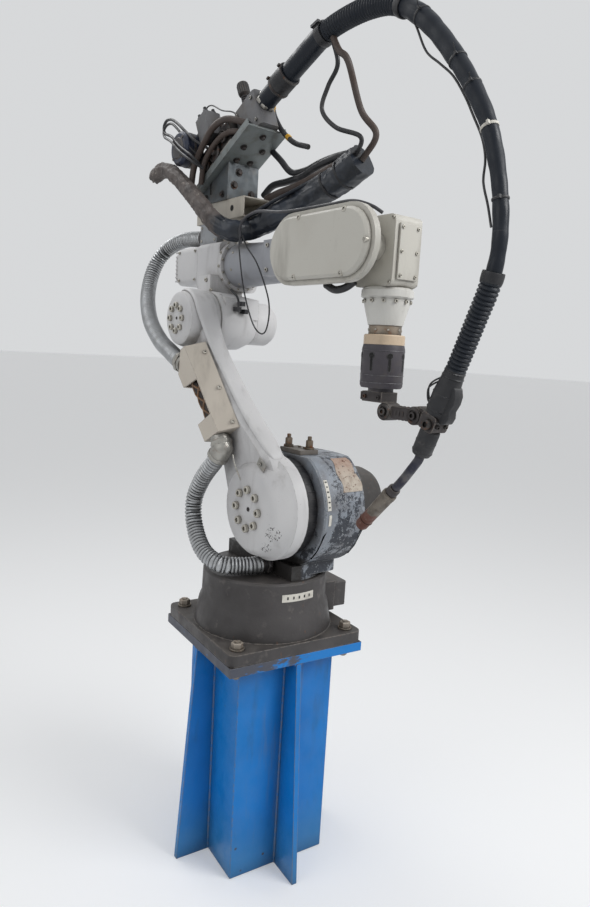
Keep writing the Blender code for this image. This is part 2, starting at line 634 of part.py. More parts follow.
def joint_4_motor():
    cover = box(J4_COVER_X, both(ELBOW_BOX_HALF), J4_COVER_Z, ELBOW_CORNER, "X")
    low, high = J4_COVER_Z
    inset = J4_BACK_INSET
    back = box(J4_BACK_X, both(ELBOW_BOX_HALF - inset), (low + inset, high - inset), ELBOW_CORNER, "X")
    from_mesh(joined(cover, back), "joint_4_motor_cover", "elbow", arm_paint("joint_4_motor_cover"))


def joint_4_flange():
    bm = lathe(J4_FLANGE_PROFILE, "X", (0.0, J4_Z))
    from_mesh(bm, "joint_4_flange", "elbow", arm_paint("joint_4_flange"))


def elbow_gland():
    bm = box(GLAND_BOX_X, GLAND_BOX_Y, GLAND_BOX_Z)
    from_mesh(bm, "elbow_cable_box", "elbow", grey_paint("elbow_cable_box"))
    bm = gland((GLAND_X[0], 0.0, GLAND_Z), (GLAND_X[1] - GAP, 0.0, GLAND_Z), GLAND_RADIUS)
    from_mesh(bm, "elbow_cable_gland", "elbow", dark_paint("elbow_cable_gland"))


# Forearm

def forearm_casting():
    neck = lathe(NECK_PROFILE, "X", (0.0, J4_Z))
    outline = stadium(HOUSING_BACK_X, J5_X, J4_Z, HOUSING_RADIUS)
    housing = prism(outline, HOUSING_Y[0], HOUSING_Y[1], "Y")
    outline = stadium(HOUSING_BACK_X, HOUSING_BODY_X, J4_Z, HOUSING_BODY_RADIUS)
    body = prism(outline, HOUSING_BODY_Y[0], HOUSING_BODY_Y[1], "Y")
    block = box(NECK_BLOCK_X, NECK_BLOCK_Y, (J4_Z - NECK_BLOCK_HALF, J4_Z + NECK_BLOCK_HALF))
    boss = lathe([(0.0, PIVOT_BOSS_Y[0]), (PIVOT_BOSS_RADIUS, PIVOT_BOSS_Y[0]),
                  (PIVOT_BOSS_RADIUS, PIVOT_BOSS_Y[1]), (0.0, PIVOT_BOSS_Y[1])], "Y", (J5_X, J4_Z))
    from_mesh(joined(neck, housing, body, block, boss), "forearm_casting", "forearm", arm_paint("forearm_casting"))


def forearm_lid():
    low = stadium(HOUSING_BACK_X, J5_X, J4_Z, LID_RADIUS)
    face = stadium(HOUSING_BACK_X, J5_X, J4_Z, LID_FACE_RADIUS)
    edge = LID_Y[1] + (LID_Y[0] - LID_Y[1]) / 2
    sections = [[(x, y, z) for x, z in outline] for outline, y in ((low, LID_Y[1]), (low, edge), (face, LID_Y[0]))]
    from_mesh(loft(sections), "forearm_lid", "forearm", arm_paint("forearm_lid"))


# Wrist

def wrist_housing():
    bm = box(WRIST_X, WRIST_Y, WRIST_Z, WRIST_CORNER, "Y")
    from_mesh(bm, "wrist_housing", "wrist", arm_paint("wrist_housing"))


def wrist_cover():
    face = WRIST_X[1] + GAP
    bm = box((face, face + WRIST_COVER_THICK), WRIST_COVER_Y, WRIST_COVER_Z)
    from_mesh(bm, "wrist_cover", "wrist", arm_paint("wrist_cover"))


def wrist_skirt():
    bm = lathe(SKIRT_PROFILE, "Z", (J5_X, 0.0))
    from_mesh(bm, "wrist_skirt", "wrist", arm_paint("wrist_skirt"))


# Tool

def tool_rings():
    bm = lathe(OUTPUT_PROFILE, "Z", (J5_X, 0.0))
    from_mesh(bm, "tool_flange", "tool", bare_steel("tool_flange"))
    bm = lathe(RING_PROFILE, "Z", (J5_X, 0.0))
    from_mesh(bm, "insulating_ring", "tool", beige_plastic("insulating_ring"))
    bm = lathe(SENSOR_PROFILE, "Z", (J5_X, 0.0))
    from_mesh(bm, "shock_sensor", "tool", dark_paint("shock_sensor"))


def torch_bracket():
    clamp = box(CLAMP_X, CLAMP_Y, CLAMP_Z)
    tube = box(KNUCKLE_X, both(TUBE_RADIUS), (KNUCKLE_Z - TUBE_RADIUS, KNUCKLE_Z + TUBE_RADIUS),
               TUBE_RADIUS / 2, "X")
    knuckles = [lathe([(0.0, KNUCKLE_Y[0]), (KNUCKLE_RADIUS, KNUCKLE_Y[0]), (KNUCKLE_RADIUS, KNUCKLE_Y[1]),
                       (0.0, KNUCKLE_Y[1])], "Y", (x, KNUCKLE_Z)) for x in KNUCKLE_X]
    reach = BLOCK_SIZE[0] / 2 + GAP
    shank = box((-reach - SHANK_LONG, -reach), both(TUBE_RADIUS), both(TUBE_RADIUS))
    bmesh.ops.transform(shank, matrix=torch_frame(), verts=shank.verts)
    from_mesh(joined(clamp, tube, shank, *knuckles), "torch_bracket", "tool", dark_paint("torch_bracket"))


def torch_frame():
    """Turns the torch's own axis, +Z up its handle, to its lean over the bracket."""
    return Matrix.Translation((TORCH_X, 0.0, TORCH_Z)) @ Matrix.Rotation(TORCH_TILT, 4, "Y")


def torch():
    holder = box(both(BLOCK_SIZE[0] / 2), both(BLOCK_SIZE[1] / 2), both(BLOCK_SIZE[2] / 2), BLOCK_CORNER, "Y")
    bmesh.ops.transform(holder, matrix=torch_frame(), verts=holder.verts)
    from_mesh(holder, "torch_holder", "tool", dark_paint("torch_holder"))
    for name, profile, lift in (("torch_handle", HANDLE_PROFILE, BLOCK_SIZE[2] / 2 + GAP),
                                ("torch_barrel", BARREL_PROFILE, -BLOCK_SIZE[2] / 2)):
        bm = lathe(profile, "Z", (0.0, 0.0))
        bmesh.ops.transform(bm, matrix=torch_frame() @ Matrix.Translation((0.0, 0.0, lift)), verts=bm.verts)
        from_mesh(bm, name, "tool", black_rubber(name))
    low = BARREL_PROFILE[-1][1] - BLOCK_SIZE[2] / 2 - GAP
    route = [torch_frame() @ Vector((x, 0.0, z)) for x, z in [(0.0, low), (0.0, low - SWAN_STUB)] + SWAN_ROUTE]
    hose("torch_neck", route, SWAN_RADIUS, "tool", dark_paint("torch_neck"), HOSE_STEP / 2)
    line = route[-1] - route[-2]
    start = route[-1] + line.normalized() * GAP
    bm = lathe(NOZZLE_PROFILE, "Z", (0.0, 0.0))
    turn = Vector((0.0, 0.0, 1.0)).rotation_difference(line).to_matrix().to_4x4()
    bmesh.ops.transform(bm, matrix=Matrix.Translation(start) @ turn, verts=bm.verts)
    from_mesh(bm, "torch_nozzle", "tool", bare_steel("torch_nozzle"))


# Wire feeder

def tray_frame():
    return Matrix.Translation(TRAY_CENTRE) @ Matrix.Rotation(TRAY_TILT, 4, "Y")


def on_tray(bm, name, mat):
    bmesh.ops.transform(bm, matrix=tray_frame(), verts=bm.verts)
    from_mesh(bm, name, "elbow", mat)


def under_tray(x):
    """Height of the underside of the tray's plate."""
    return TRAY_CENTRE[2] - (x - TRAY_CENTRE[0]) * math.tan(TRAY_TILT) - (TRAY_THICK + GAP) / math.cos(TRAY_TILT)


def feeder_bracket():
    low, high = CHANNEL_Z
    wall = CHANNEL_WALL
    outer = box(CHANNEL_X, both(CHANNEL_HALF), CHANNEL_Z)
    inner = box((CHANNEL_X[0] - CUT, CHANNEL_X[1] + CUT), both(CHANNEL_HALF - wall), (low + wall, high - wall))
    foot = box(CHANNEL_FOOT_X, both(CHANNEL_FOOT_HALF), (ELBOW_BOX_Z[1] + GAP, low + wall / 2))
    from_mesh(joined(cut(outer, inner), foot), "feeder_channel", "elbow", arm_paint("feeder_channel"))
    back, front = PILLAR_X
    outer = prism([(back, PILLAR_LOW), (front, PILLAR_LOW), (front, under_tray(front)), (back, under_tray(back))],
                  -PILLAR_HALF, PILLAR_HALF, "Y")
    wall = PILLAR_WALL
    back, front = back - CUT, front - wall
    inner = prism([(back, PILLAR_LOW + wall), (front, PILLAR_LOW + wall), (front, under_tray(front) - wall),
                   (back, under_tray(back) - wall)], wall - PILLAR_HALF, PILLAR_HALF - wall, "Y")
    from_mesh(cut(outer, inner), "feeder_pillar", "elbow", bare_steel("feeder_pillar"))


def feeder_tray():
    half_long, half_wide = TRAY_LONG / 2, TRAY_WIDE / 2
    plate = box(both(half_long), both(half_wide), (-TRAY_THICK, TRAY_EDGE))
    inner = box((-half_long - CUT, half_long + CUT), both(half_wide - TRAY_EDGE_THICK), (0.0, TRAY_EDGE + CUT))
    on_tray(cut(plate, inner), "feeder_tray", bare_steel("feeder_tray"))


def feeder_parts():
    on_tray(box(ROLLS_SPAN, ROLLS_Y, ROLLS_RISE), "feeder_rolls", dark_paint("feeder_rolls"))
    on_tray(box(HEAD_SPAN, HEAD_Y, HEAD_RISE, HEAD_CORNER), "feeder_head", grey_paint("feeder_head"))
    on_tray(box(INLET_SPAN, INLET_Y, INLET_RISE), "feeder_wire_inlet", grey_paint("feeder_wire_inlet"))
    motor = lathe(FEED_MOTOR_PROFILE, "Y", (FEED_MOTOR_ALONG, FEED_MOTOR_RISE))
    on_tray(motor, "feeder_motor", dark_paint("feeder_motor"))
    on_tray(lathe(KNOB_PROFILE, "Z", (KNOB_ALONG, KNOB_SIDE)), "feeder_knob", dark_paint("feeder_knob"))


# Hoses

def conduits():
    y = LOWER_FITTING_Y[0] - GAP
    start = [(LOWER_FITTING_X, y, LOWER_FITTING_Z), (LOWER_FITTING_X, y - STUB, LOWER_FITTING_Z)]
    end = [arm_point(COVER_LOW - GLAND_LONG - reach, ARM_GLAND_SIDE, beam_outside(COVER_LOW) - ARM_GLAND_OUT)
           for reach in (GAP + STUB, GAP)]
    hose("lower_conduit", start + LOWER_CONDUIT + end, CONDUIT_RADIUS, "lower_arm", bare_steel("lower_conduit"),
         CONDUIT_STEP)
    base, way = upper_gland_line()
    start = [base + way * (GLAND_LONG + reach) for reach in (GAP, GAP + STUB)]
    end = [(GLAND_X[0] - reach, 0.0, GLAND_Z) for reach in (GAP + STUB, GAP)]
    hose("upper_conduit", start + UPPER_CONDUIT + end, CONDUIT_RADIUS, "elbow", bare_steel("upper_conduit"),
         CONDUIT_STEP)


def cable_bundle():
    """Bundle lying against the channel's lower front edge, with the feed sleeve and the gas hose at its ends."""
    reach = BUNDLE_RADIUS + GAP
    touch = (CHANNEL_X[1] + reach * math.cos(BUNDLE_LEAN), BUNDLE_TOUCH_Y,
             CHANNEL_Z[0] - reach * math.sin(BUNDLE_LEAN))
    line = hose("cable_bundle", [BUNDLE_START, touch] + BUNDLE_ROUTE, BUNDLE_RADIUS, "elbow",
                black_rubber("cable_bundle"), CONDUIT_STEP, BUNDLE_END_RADIUS)
    back = (line[0] - line[1]).normalized()
    start = [line[0] + back * reach for reach in (GAP, GAP + STUB)]
    hose("feed_sleeve", start + SLEEVE_ROUTE, FEED_SLEEVE_RADIUS, "elbow", grey_paint("feed_sleeve"), CONDUIT_STEP)
    ahead = (line[-1] - line[-2]).normalized()
    start = [line[-1] + ahead * reach for reach in (GAP, GAP + STUB)]
    end = [(HOSE_END_X, 0.0, HOSE_END_Z - reach) for reach in (STUB, 0.0)]
    hose("gas_hose", start + HOSE_ROUTE + end, HOSE_RADIUS, "elbow", black_rubber("gas_hose"))


def torch_cable():
    start = [tray_frame() @ Vector((u, 0.0, CABLE_RISE)) for u in (HEAD_SPAN[1] + GAP, HEAD_SPAN[1] + STUB)]
    high = HANDLE_PROFILE[-1][1] + BLOCK_SIZE[2] / 2 + 2 * GAP
    end = [torch_frame() @ Vector((x, 0.0, z)) for x, z in
           (TORCH_CABLE_BEND, (0.0, high + STUB), (0.0, high))]
    pieces = split_route(smooth_route(start + TORCH_CABLE + end, CONDUIT_STEP), TORCH_CABLE_SHARES)
    for name, piece, radius, body in zip(("torch_cable_rear", "torch_cable_middle", "torch_cable_front"), pieces,
                                         TORCH_CABLE_RADII, ("forearm", "wrist", "tool")):
        hose_through(name, piece, radius, body, black_rubber(name))


def build():
    clear_scene()
    pedestal_column()
    for name, quarter in (("pedestal_fin_front", 0), ("pedestal_fin_right", 1), ("pedestal_fin_back", 2),
                          ("pedestal_fin_left", 3)):
        pedestal_fin(name, quarter)
    pedestal_top_plate()
    base_casting()
    base_connector_box()
    turret_casting()
    turret_seal()
    joint_2_motor()
    lifting_plate()
    lower_fitting()
    lower_arm()
    cable_cover()
    cable_sleeve()
    arm_glands()
    elbow_casting()
    joint_3_motor()
    joint_4_motor()
    joint_4_flange()
    elbow_gland()
    forearm_casting()
    forearm_lid()
    wrist_housing()
    wrist_cover()
    wrist_skirt()
    tool_rings()
    torch_bracket()
    torch()
    feeder_bracket()
    feeder_tray()
    feeder_parts()
    conduits()
    cable_bundle()
    torch_cable()


build()
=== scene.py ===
"""Looks of a welding robot arm: finishes, fasteners, conduits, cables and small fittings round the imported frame."""

import json
import math

import bmesh
import bpy
from mathutils import Matrix, Vector, noise


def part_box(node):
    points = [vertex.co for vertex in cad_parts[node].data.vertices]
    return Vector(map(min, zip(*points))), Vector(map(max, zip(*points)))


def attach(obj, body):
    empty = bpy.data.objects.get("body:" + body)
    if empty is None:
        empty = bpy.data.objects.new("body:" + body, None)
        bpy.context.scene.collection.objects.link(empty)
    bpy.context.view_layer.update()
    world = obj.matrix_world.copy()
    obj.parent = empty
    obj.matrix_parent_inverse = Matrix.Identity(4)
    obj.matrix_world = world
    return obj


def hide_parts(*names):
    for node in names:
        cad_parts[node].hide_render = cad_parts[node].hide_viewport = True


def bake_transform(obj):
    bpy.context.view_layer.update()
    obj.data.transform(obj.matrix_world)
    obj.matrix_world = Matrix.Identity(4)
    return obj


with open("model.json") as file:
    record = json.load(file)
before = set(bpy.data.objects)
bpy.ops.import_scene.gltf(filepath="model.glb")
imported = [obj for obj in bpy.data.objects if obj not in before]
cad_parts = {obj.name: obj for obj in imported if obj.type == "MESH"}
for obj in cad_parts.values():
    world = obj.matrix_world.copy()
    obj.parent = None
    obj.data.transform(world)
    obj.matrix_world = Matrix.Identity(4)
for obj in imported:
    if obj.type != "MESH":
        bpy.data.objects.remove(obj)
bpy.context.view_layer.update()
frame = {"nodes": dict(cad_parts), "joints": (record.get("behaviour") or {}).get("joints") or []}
NODES = frame["nodes"]

# Places that the frame gives
JOINTS = {joint["name"]: Vector(joint["pos_m"]) for joint in frame["joints"]}
J2_X, J2_Z = JOINTS["joint_2"].x, JOINTS["joint_2"].z
J3_X, J3_Z = JOINTS["joint_3"].x, JOINTS["joint_3"].z
J4_Z, J5_X = JOINTS["joint_4"].z, JOINTS["joint_5"].x

# Places and sizes that the frame doesn't give, as the part's source has them
BASE = Matrix.Rotation(math.radians(-5), 4, "Z")
TRAY = Matrix.Translation((-0.21, -0.009, 1.9065)) @ Matrix.Rotation(math.radians(-26.8), 4, "Y")
TORCH = Matrix.Translation((0.57, 0, 1.2755)) @ Matrix.Rotation(math.radians(22.3), 4, "Y")
BLOCK_TOP, HANDLE_LONG = 0.018, 0.099
KNUCKLE_X, KNUCKLE_FACE, KNUCKLE_Z = (0.44, 0.528), -0.018, 1.284
HUB2_FACE, HUB3_FACE = -0.125, -0.2

TURN = 2 * math.pi
AHEAD, UP, SIDE = Vector((1, 0, 0)), Vector((0, 0, 1)), Vector((0, -1, 0))


# Colours, written as they look on a screen

def colour(red, green, blue):
    return tuple(((c / 255 + 0.055) / 1.055) ** 2.4 if c > 10 else c / 255 / 12.92
                 for c in (red, green, blue)) + (1.0,)


GRIME, SOOT, RUST, SLATE = colour(92, 84, 74), colour(38, 35, 33), colour(124, 78, 48), colour(48, 52, 60)
CHIP_PALE, BLUE, BLUE_BLACK = colour(178, 182, 184), colour(0, 126, 208), colour(24, 30, 39)
BEIGE_WHITE, BEIGE_SHADE = colour(202, 199, 190), colour(184, 179, 169)


class Finish:
    """A material whose nodes are placed by metres in the row's frame. Shares run from 0 to 1."""

    def __init__(self, name, base, roughness=0.5, metallic=0):
        self.mat = bpy.data.materials.new(name)
        self.mat.use_nodes = True
        self.nodes, self.links = self.mat.node_tree.nodes, self.mat.node_tree.links
        self.shader = self.nodes["Principled BSDF"]
        for socket, value in (("Base Color", base), ("Roughness", roughness), ("Metallic", metallic)):
            self.shader.inputs[socket].default_value = value
        self.place = self.add("TexCoord")["Object"]
        self.paint, self.normal = base, None

    def add(self, kind, inputs=None, **settings):
        """The outputs of a new node, whose inputs are numbers or other nodes' outputs."""
        node = self.nodes.new("ShaderNode" + kind)
        for name, value in settings.items():
            setattr(node, name, value)
        for socket, value in (inputs or {}).items():
            if isinstance(value, bpy.types.NodeSocket):
                self.links.new(value, node.inputs[socket])
            else:
                node.inputs[socket].default_value = value
        return node.outputs

    def noise(self, size, detail=4, rough=0.55, stretch=(1, 1, 1), twist=0):
        """Noise whose lumps measure about that size."""
        place = self.add("Mapping", {"Vector": self.place, "Scale": stretch})["Vector"]
        return self.add("TexNoise", {"Vector": place, "Scale": 1 / size, "Detail": detail, "Roughness": rough,
                                     "Distortion": twist})["Fac"]

    def cells(self, size):
        return self.add("TexVoronoi", {"Vector": self.place, "Scale": 1 / size})["Distance"]

    def along(self, axis):
        return self.add("SeparateXYZ", {"Vector": self.place})[axis]

    def fade(self, value, low, high, to_low=0, to_high=1):
        return self.add("MapRange", {"Value": value, "From Min": low, "From Max": high, "To Min": to_low,
                                     "To Max": to_high}, interpolation_type="SMOOTHSTEP")["Result"]

    def maths(self, operation, one, two):
        return self.add("Math", {0: one, 1: two}, operation=operation)["Value"]

    def plus(self, one, two):
        return self.maths("ADD", one, two)

    def times(self, value, *others):
        for other in others:
            value = self.maths("MULTIPLY", value, other)
        return value

    def near(self, centre, reach, ragged=0.3):
        """1 inside a ragged ball round a place and 0 outside."""
        far = self.add("VectorMath", {0: self.place, 1: centre}, operation="DISTANCE")["Value"]
        far = self.plus(far, self.times(self.noise(0.02, 5), ragged * reach))
        return self.fade(far, reach * (1 + ragged * 0.4), reach * (1 + ragged * 0.6), 1, 0)

    def corners(self, reach):
        """1 in corners, where ambient occlusion finds shade and grime gathers, 0 in the open."""
        return self.fade(self.add("AmbientOcclusion", {"Distance": reach}, samples=4)["AO"], 0.45, 0.95, 1, 0)

    def facing_up(self):
        """1 on faces that dust settles on."""
        normal = self.add("NewGeometry")["Normal"]
        return self.fade(self.add("SeparateXYZ", {"Vector": normal})["Z"], 0.55, 0.95)

    def over(self, share, tint):
        """Lays a colour over the paint so far."""
        self.paint = self.add("Mix", {"Factor": share, 6: self.paint, 7: tint}, data_type="RGBA")[2]

    def spots(self, size, low, high, share, tint, detail=6, rough=0.55, stretch=(1, 1, 1)):
        """Spots of a colour where a noise passes from a low level to a high one."""
        self.over(self.times(self.fade(self.noise(size, detail, rough, stretch), low, high), share), tint)

    # Darkens corners found by ambient occlusion: partly grime, partly painted occlusion shade.
    def grime_and_shade(self, reach, share, tint=SOOT):
        self.over(self.times(self.corners(reach), share), tint)

    def worn(self, reach, share, tint=CHIP_PALE, low=0.02, high=0.1):
        """Worn edges, from how the surface's normal turns within a reach."""
        round_normal = self.add("Bevel", {"Radius": reach}, samples=4)["Normal"]
        inputs = {0: round_normal, 1: self.add("NewGeometry")["Normal"]}
        turned = self.maths("SUBTRACT", 1, self.add("VectorMath", inputs, operation="DOT_PRODUCT")["Value"])
        ragged = self.times(turned, self.fade(self.noise(0.012, 5), 0.35, 0.65, 0.2, 1.6))
        self.over(self.times(self.fade(ragged, low, high), share), tint)

    def rough(self, value, smooth, dull, low=0, high=1):
        self.links.new(self.fade(value, low, high, smooth, dull), self.shader.inputs["Roughness"])

    def gloss(self, size, smooth, dull):
        """Roughness that wanders between two values."""
        self.rough(self.noise(size, 5), smooth, dull, 0.3, 0.7)

    def bump(self, value, depth, strength):
        inputs = {"Height": value, "Distance": depth, "Strength": strength}
        if self.normal:
            inputs["Normal"] = self.normal
        self.normal = self.add("Bump", inputs)["Normal"]

    def grain(self, size, detail, depth, strength):
        self.bump(self.noise(size, detail), depth, strength)

    def done(self):
        if isinstance(self.paint, bpy.types.NodeSocket):
            self.links.new(self.paint, self.shader.inputs["Base Color"])
        self.links.new(self.normal, self.shader.inputs["Normal"])
        return self.mat


# Finishes

NOZZLE_TIP = (0.388, 0, 1.016)
HUB_CHIPS = [((0.196, -0.124, 0.952), 0.026), ((0.168, -0.124, 0.912), 0.02)]


def old_paint(name, base, shade, grime_and_shade, chips, roughness=0.42, behind=None):
    """Semi-gloss paint on a casting: mottled, grimy and darkened in its corners as painted occlusion shade, chipped
    at its edges, streaked downwards.

    behind gives an x and the colour of the paint behind it."""
    f = Finish(name, base, roughness)
    f.spots(0.22, 0.35, 0.75, 0.55, shade, 3)
    if behind:
        f.over(f.fade(f.along("X"), behind[0] - 0.008, behind[0], 1, 0), behind[1])
    f.spots(0.05, 0.52, 0.78, 0.35, GRIME, stretch=(1, 1, 0.18))
    f.spots(0.006, 0.66, 0.8, 0.5 * grime_and_shade, GRIME, 3)
    # Corners darkened by ambient occlusion: grime and painted shade.
    f.grime_and_shade(0.035, f.times(f.fade(f.noise(0.03, 5), 0.3, 0.7, 0.35, 1), grime_and_shade), GRIME)
    f.over(f.times(f.fade(f.cells(0.045), 0.05, 0.075, 1, 0), f.fade(f.noise(0.06), 0.5, 0.62), chips), SOOT)
    f.worn(0.0035, chips, colour(120, 112, 104))
    for place, reach in HUB_CHIPS:
        f.over(f.times(f.near(place, reach), f.fade(f.noise(0.0045), 0.56, 0.6)), SOOT)
    f.gloss(0.03, roughness - 0.08, roughness + 0.16)
    f.grain(0.0035, 2, 0.0004, 0.35)
    f.grain(0.05, 3, 0.0015, 0.25)
    return f.done()


def blue_steel():
    f = Finish("pedestal_blue", BLUE, 0.38)
    f.spots(0.16, 0.35, 0.8, 0.5, colour(2, 104, 178), 4)
    low = f.plus(f.along("Z"), f.times(f.noise(0.09, 5), 0.1))
    f.over(f.fade(low, 0.03, 0.26, 0.8, 0), colour(58, 128, 176))
    f.spots(0.045, 0.56, 0.72, 0.35, colour(40, 96, 140), stretch=(1, 1, 0.25))
    f.spots(0.09, 0.6, 0.72, 0.4, colour(104, 122, 138), 7, 0.62, (1, 1, 0.1))
    # Darker blue in the corners between the column and its fins: painted shade.
    f.grime_and_shade(0.05, 0.55, colour(6, 50, 92))
    f.over(f.times(f.fade(f.cells(0.05), 0.05, 0.1, 1, 0), f.fade(f.noise(0.11), 0.52, 0.6)), colour(66, 64, 66))
    f.worn(0.004, 1, colour(112, 110, 110), 0.01, 0.07)
    f.gloss(0.05, 0.3, 0.58)
    f.grain(0.03, 4, 0.0012, 0.3)
    f.grain(0.004, 2, 0.0003, 0.3)
    return f.done()


def base_paint(name, base):
    """Dull dark paint, dusty on top and a little rusty."""
    f = Finish(name, base)
    f.spots(0.1, 0.35, 0.7, 0.7, tuple(0.66 * c for c in base[:3]) + (1,), 5)
    f.spots(0.03, 0.58, 0.72, 0.45, colour(112, 106, 102), 7)
    f.spots(0.013, 0.66, 0.72, 0.35, RUST, 5, stretch=(1, 1, 0.3))
    f.over(f.times(f.facing_up(), f.fade(f.noise(0.04, 5), 0.35, 0.65, 0.1, 0.55)), colour(100, 95, 90))
    # Corners darkened by ambient occlusion: grime and painted shade.
    f.grime_and_shade(0.04, 0.7)
    f.worn(0.004, 0.75, colour(140, 132, 124), 0.02, 0.12)
    f.gloss(0.04, 0.4, 0.68)
    f.grain(0.006, 4, 0.0008, 0.4)
    return f.done()


def plate_paint():
    """Blue paint of the top plate, under grey grime on its top, and grey on the side away from the light that is part
    grime and part painted shade.
    """
    f = Finish("plate_blue", BLUE, 0.45)
    # Grey laid over the blue more on the side away from the light: part grime, part painted shade.
    side = f.fade(f.along("Y"), -0.22, 0.1, 0.16, -0.12)
    worn = f.fade(f.plus(f.noise(0.07, 8, 0.65, (1, 1, 2.5)), side), 0.5, 0.58)
    f.over(f.times(worn, 0.95), colour(78, 76, 78))
    f.over(f.facing_up(), colour(62, 59, 60))
    # Corners darkened by ambient occlusion: grime and painted shade.
    f.grime_and_shade(0.03, 0.6)
    f.worn(0.003, 0.7, colour(112, 112, 114))
    f.gloss(0.04, 0.36, 0.62)
    f.grain(0.006, 4, 0.0006, 0.4)
    return f.done()


def peeled_turret():
    """Grey paint flaking off dark slate primer: speckled on the drum, slate low down, pale filler at the back."""
    f = Finish("turret_peeled", colour(136, 143, 152))
    f.spots(0.06, 0.35, 0.7, 0.7, colour(104, 100, 100), 5)
    low = f.fade(f.along("Z"), 0.86, 1.08, 0.1, -0.05)
    middle = f.fade(f.along("Y"), 0.015, 0.05, -0.06, 0.03)
    flakes = f.fade(f.plus(f.plus(f.noise(0.055, 12, 0.74, twist=0.4), low), middle), 0.555, 0.568)
    f.over(flakes, SLATE)
    f.over(f.fade(f.plus(f.noise(0.016, 10, 0.75, twist=0.6), middle), 0.545, 0.56), colour(56, 60, 68))
    back = f.fade(f.along("Y"), 0.05, 0.13, -0.1, 0.06)
    pale = f.fade(f.plus(f.noise(0.042, 12, 0.7, twist=0.5), back), 0.59, 0.602)
    f.over(f.times(pale, 0.8), colour(150, 156, 164))
    f.spots(0.007, 0.6, 0.62, 0.7, CHIP_PALE, 9, 0.7)
    # Corners darkened by ambient occlusion: grime and painted shade.
    f.grime_and_shade(0.03, 0.7)
    f.worn(0.004, 0.6)
    # Near-black low on the turret's front, under the hub, where the foot lies in deep shade: painted shadow.
    f.over(f.times(f.fade(f.along("Z"), 0.866, 0.88, 1, 0), f.fade(f.along("Y"), 0.002, 0.014, 0.97, 0)), SOOT)
    f.rough(flakes, 0.42, 0.62)
    f.bump(flakes, 0.0009, -0.6)
    f.grain(0.004, 3, 0.0004, 0.35)
    return f.done()


def rubber(name, base=colour(28, 29, 33), roughness=0.48, dust=0.35, sheen=0.5):
    f = Finish(name, base, roughness)
    f.shader.inputs["Specular IOR Level"].default_value = sheen
    f.spots(0.05, 0.45, 0.75, dust, colour(88, 86, 86))
    f.spots(0.008, 0.6, 0.8, 0.5 * dust, colour(110, 104, 98), 4)
    f.worn(0.003, 0.35, colour(92, 92, 94), 0.02, 0.2)
    f.gloss(0.03, roughness - 0.12, roughness + 0.15)
    f.grain(0.003, 3, 0.0003, 0.35)
    return f.done()


def metal(name, base=colour(168, 166, 160), roughness=0.36, rust=0.2, dark=0.5, groove=0.012):
    f = Finish(name, base, roughness, 0.85)
    f.spots(0.03, 0.35, 0.75, dark, colour(128, 126, 122))
    # Grooves darkened by ambient occlusion: grime and painted shade.
    f.grime_and_shade(groove, 0.85)
    f.spots(0.012, 0.56, 0.66, rust, RUST)
    f.gloss(0.02, roughness - 0.06, roughness + 0.2)
    f.grain(0.004, 4, 0.0003, 0.4)
    return f.done()


def nozzle_finish():
    """Sooty nozzle, reddish where it has run hot."""
    f = Finish("nozzle_metal", colour(126, 119, 110), 0.5, 0.6)
    f.spots(0.02, 0.35, 0.7, 0.6, colour(84, 76, 70))
    f.over(f.times(f.near(NOZZLE_TIP, 0.045, 0.8), 0.75), colour(112, 66, 56))
    f.spots(0.008, 0.6, 0.68, 0.6, colour(142, 132, 122))
    # Corners darkened by ambient occlusion: soot and painted shade.
    f.grime_and_shade(0.01, 0.8)
    f.gloss(0.02, 0.42, 0.7)
    f.grain(0.004, 4, 0.0004, 0.5)
    return f.done()


def plain(name, base, roughness=0.5, grime_and_shade=0.4, metallic=0):
    f = Finish(name, base, roughness, metallic)
    f.spots(0.03, 0.45, 0.75, grime_and_shade, GRIME)
    # Corners darkened by ambient occlusion: grime and painted shade.
    f.grime_and_shade(0.012, 0.7 * grime_and_shade)
    f.worn(0.002, 0.3, CHIP_PALE, 0.02, 0.2)
    f.gloss(0.02, roughness - 0.08, roughness + 0.14)
    f.grain(0.003, 3, 0.0003, 0.35)
    return f.done()


def loose_sleeve():
    """Shiny black sleeve that a dusty grey-brown one slips over at its feeder end."""
    f = Finish("loose_sleeve", BLUE_BLACK, 0.3)
    f.spots(0.06, 0.45, 0.7, 0.35, colour(70, 78, 92))
    old = f.fade(f.plus(f.along("X"), f.times(f.noise(0.03, 5), 0.05)), -0.135, -0.12, 1, 0)
    f.over(f.times(old, 0.92), colour(98, 90, 86))
    f.spots(0.03, 0.45, 0.65, old, colour(64, 58, 56), 7)
    f.spots(0.012, 0.6, 0.68, old, colour(146, 138, 130))
    # Folds darkened by ambient occlusion: grime and painted shade.
    f.grime_and_shade(0.012, 0.6)
    f.rough(old, 0.3, 0.62)
    f.grain(0.014, 5, 0.002, 0.4)
    return f.done()


def aged_label():
    f = Finish("aged_label", colour(190, 180, 166), 0.62)
    f.spots(0.02, 0.4, 0.7, 0.8, colour(160, 144, 130))
    f.over(f.times(f.fade(f.along("Z"), 1.08, 1.14), 0.5), colour(146, 92, 70))
    f.spots(0.009, 0.58, 0.62, 1, colour(96, 58, 40), 6, 0.7)
    f.spots(0.016, 0.6, 0.63, 0.8, SLATE, 7, 0.7)
    f.grain(0.004, 4, 0.0006, 0.5)
    return f.done()


